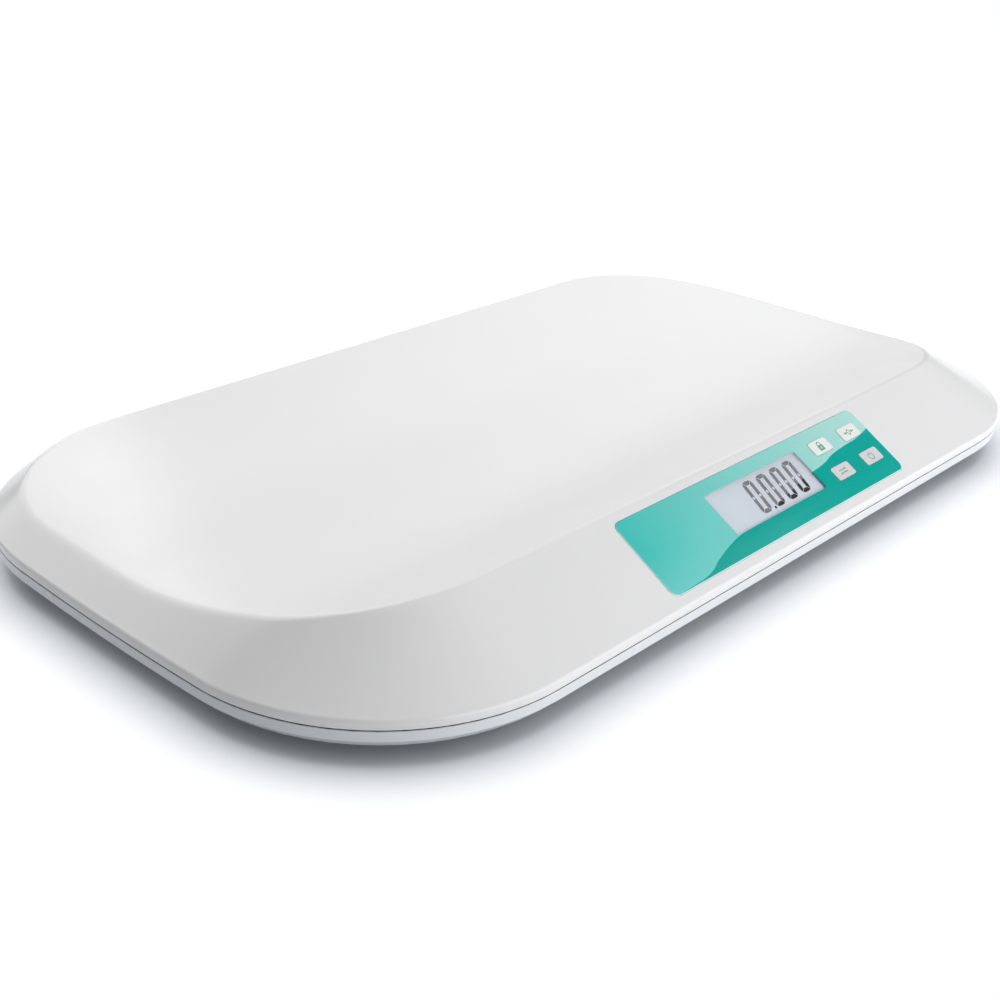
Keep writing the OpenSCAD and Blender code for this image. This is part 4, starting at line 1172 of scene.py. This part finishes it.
class WEIGHING_OT_stage(bpy.types.Operator):
    """Sets up the pale floor with a painted shadow round the scale, the soft studio light and
    the camera
    """
    bl_idname = "weighing.stage"
    bl_label = "Stage"

    # Of each lamp: turn about the scale from the camera's right, distance, height and size
    lamps = {"overhead": (0, 0, 1.25, 1.3), "right": (0, 1.3, 0.6, 1.1),
             "front_right": (-45, 1.35, 0.6, 1.2), "back": (90, 1.3, 0.9, 1.3),
             "back_low": (90, 1.5, 0.4, 1.2), "back_left": (135, 1.35, 0.8, 1.2),
             "left": (180, 1.3, 0.6, 1.1)}
    aim = Vector((0, 0, 0.02))
    # The floor, and the distances from the scale between which it clears to full white
    floor_size, clearing = 14, (0.3, 0.9)
    # Colour of the floor, and bluish tint of the painted shadow round the scale
    floor_colour, shade_tint = (0.84, 0.87, 0.9), (0.82, 0.9, 1)

    def execute(self, context):
        studio = context.scene.scale_studio
        self.build_floor(studio)
        self.set_world(studio)
        for name in self.lamps:
            self.add_lamp(studio, name)
        self.add_camera(studio)
        context.scene.view_settings.view_transform = "Standard"
        return {"FINISHED"}

    def seen(self, tree):
        """1 for what the camera sees, straight, mirrored or through glass."""
        path = add_node(tree, "ShaderNodeLightPath").outputs
        return math_node(tree, "MAXIMUM", path["Is Camera Ray"],
                         math_node(tree, "MAXIMUM", path["Is Glossy Ray"],
                                   path["Is Transmission Ray"]))

    def build_floor(self, studio):
        clear_selection()
        bpy.ops.mesh.primitive_plane_add(size=self.floor_size)
        floor = bpy.context.object
        floor.name = "floor"
        finish, tree, shader = blank("floor white")
        # The camera sees only a share of the lamps' light on the floor; an emission that grows
        # with distance from the base's outline paints the shadow round the scale
        seen = self.seen(tree)
        tone = math_node(tree, "MULTIPLY", spread(tree, noise(tree, 3), 0, 1, 0.98, 1.0),
                         spread(tree, seen, 0, 1, 1, studio.floor_share))
        x, y, _ = axes(tree, own_place(tree))
        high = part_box("base_pan")[1]
        away = rounded_distance(tree, x, y, high.x, high.y,
                                bpy.context.scene.scale_tray.corner_radius)
        near = spread(tree, away, studio.shade_start, studio.shade_stop)
        glow = curved(tree, near, PAINTED_FLOOR_SHADOW)
        far = spread(tree, away, *self.clearing, 0, 1 - PAINTED_FLOOR_SHADOW[-1][1])
        fill(tree, shader, {
            "Base Color": mix_colour(tree, tone, (0, 0, 0), self.floor_colour),
            "Roughness": 0.9, "Specular IOR Level": 0.1,
            "Emission Color": mix_colour(tree, glow, self.shade_tint, (1, 1, 1)),
            "Emission Strength": math_node(tree, "MULTIPLY", seen,
                                           math_node(tree, "ADD", glow, far))})
        floor.data.materials.append(finish)

    def set_world(self, studio):
        world = bpy.data.worlds.new("studio")
        world.use_nodes = True
        tree = world.node_tree
        path = add_node(tree, "ShaderNodeLightPath").outputs
        mirrored = math_node(tree, "MULTIPLY", path["Is Glossy Ray"], studio.sky)
        strength = math_node(tree, "ADD", path["Is Camera Ray"], mirrored)
        fill(tree, tree.nodes["Background"], {"Color": (1, 1, 1), "Strength": strength})
        bpy.context.scene.world = world

    def add_lamp(self, studio, name):
        turn, distance, height, size = self.lamps[name]
        lamp = bpy.data.lights.new(name, "AREA")
        lamp.energy = getattr(studio, name)
        lamp.size = size
        across = Vector((studio.across[0], studio.across[1], 0)).normalized() * distance
        place = Matrix.Rotation(math.radians(turn), 3, "Z") @ across + Vector((0, 0, height))
        carrier = new_object(name, lamp)
        carrier.location = place
        carrier.rotation_euler = (self.aim - place).to_track_quat("-Z", "Y").to_euler()

    def add_camera(self, studio):
        view = bpy.data.cameras.new("camera")
        view.lens = studio.lens
        view.sensor_width = studio.sensor
        view.clip_start = 0.01
        camera = new_object("camera", view)
        right, up = Vector(studio.across).normalized(), Vector(studio.up).normalized()
        turn = Matrix((right, up, right.cross(up))).transposed()
        camera.matrix_world = Matrix.Translation(studio.eye) @ turn.to_4x4()
        bpy.context.scene.camera = camera


BUILDERS = (WEIGHING_OT_tray, WEIGHING_OT_panel, WEIGHING_OT_display, WEIGHING_OT_keys,
            WEIGHING_OT_base, WEIGHING_OT_inside, WEIGHING_OT_stage)


class WEIGHING_PT_sidebar(bpy.types.Panel):
    """Lists the builders and the sizes they use"""
    bl_label = "Baby Scale"
    bl_idname = "WEIGHING_PT_sidebar"
    bl_space_type = "VIEW_3D"
    bl_region_type = "UI"
    bl_category = "Baby Scale"

    def draw(self, context):
        for builder in BUILDERS:
            self.layout.operator(builder.bl_idname)
        for group in GROUPS:
            box = self.layout.box()
            box.label(text=GROUPS[group].__doc__)
            for name in GROUPS[group].__annotations__:
                box.prop(getattr(context.scene, group), name,
                         text=name.replace("_", " ").capitalize())


def register():
    for kind in (*GROUPS.values(), *BUILDERS, WEIGHING_PT_sidebar):
        bpy.utils.register_class(kind)
    for name, kind in GROUPS.items():
        setattr(bpy.types.Scene, name, PointerProperty(type=kind))


def unregister():
    for name in GROUPS:
        delattr(bpy.types.Scene, name)
    for kind in (WEIGHING_PT_sidebar, *reversed(BUILDERS), *reversed(GROUPS.values())):
        bpy.utils.unregister_class(kind)


def main():
    """Registers the builders and builds every piece in order."""
    register()
    for builder in BUILDERS:
        group, name = builder.bl_idname.split(".")
        getattr(getattr(bpy.ops, group), name)()
    clear_selection()


if __name__ == "__main__":
    main()
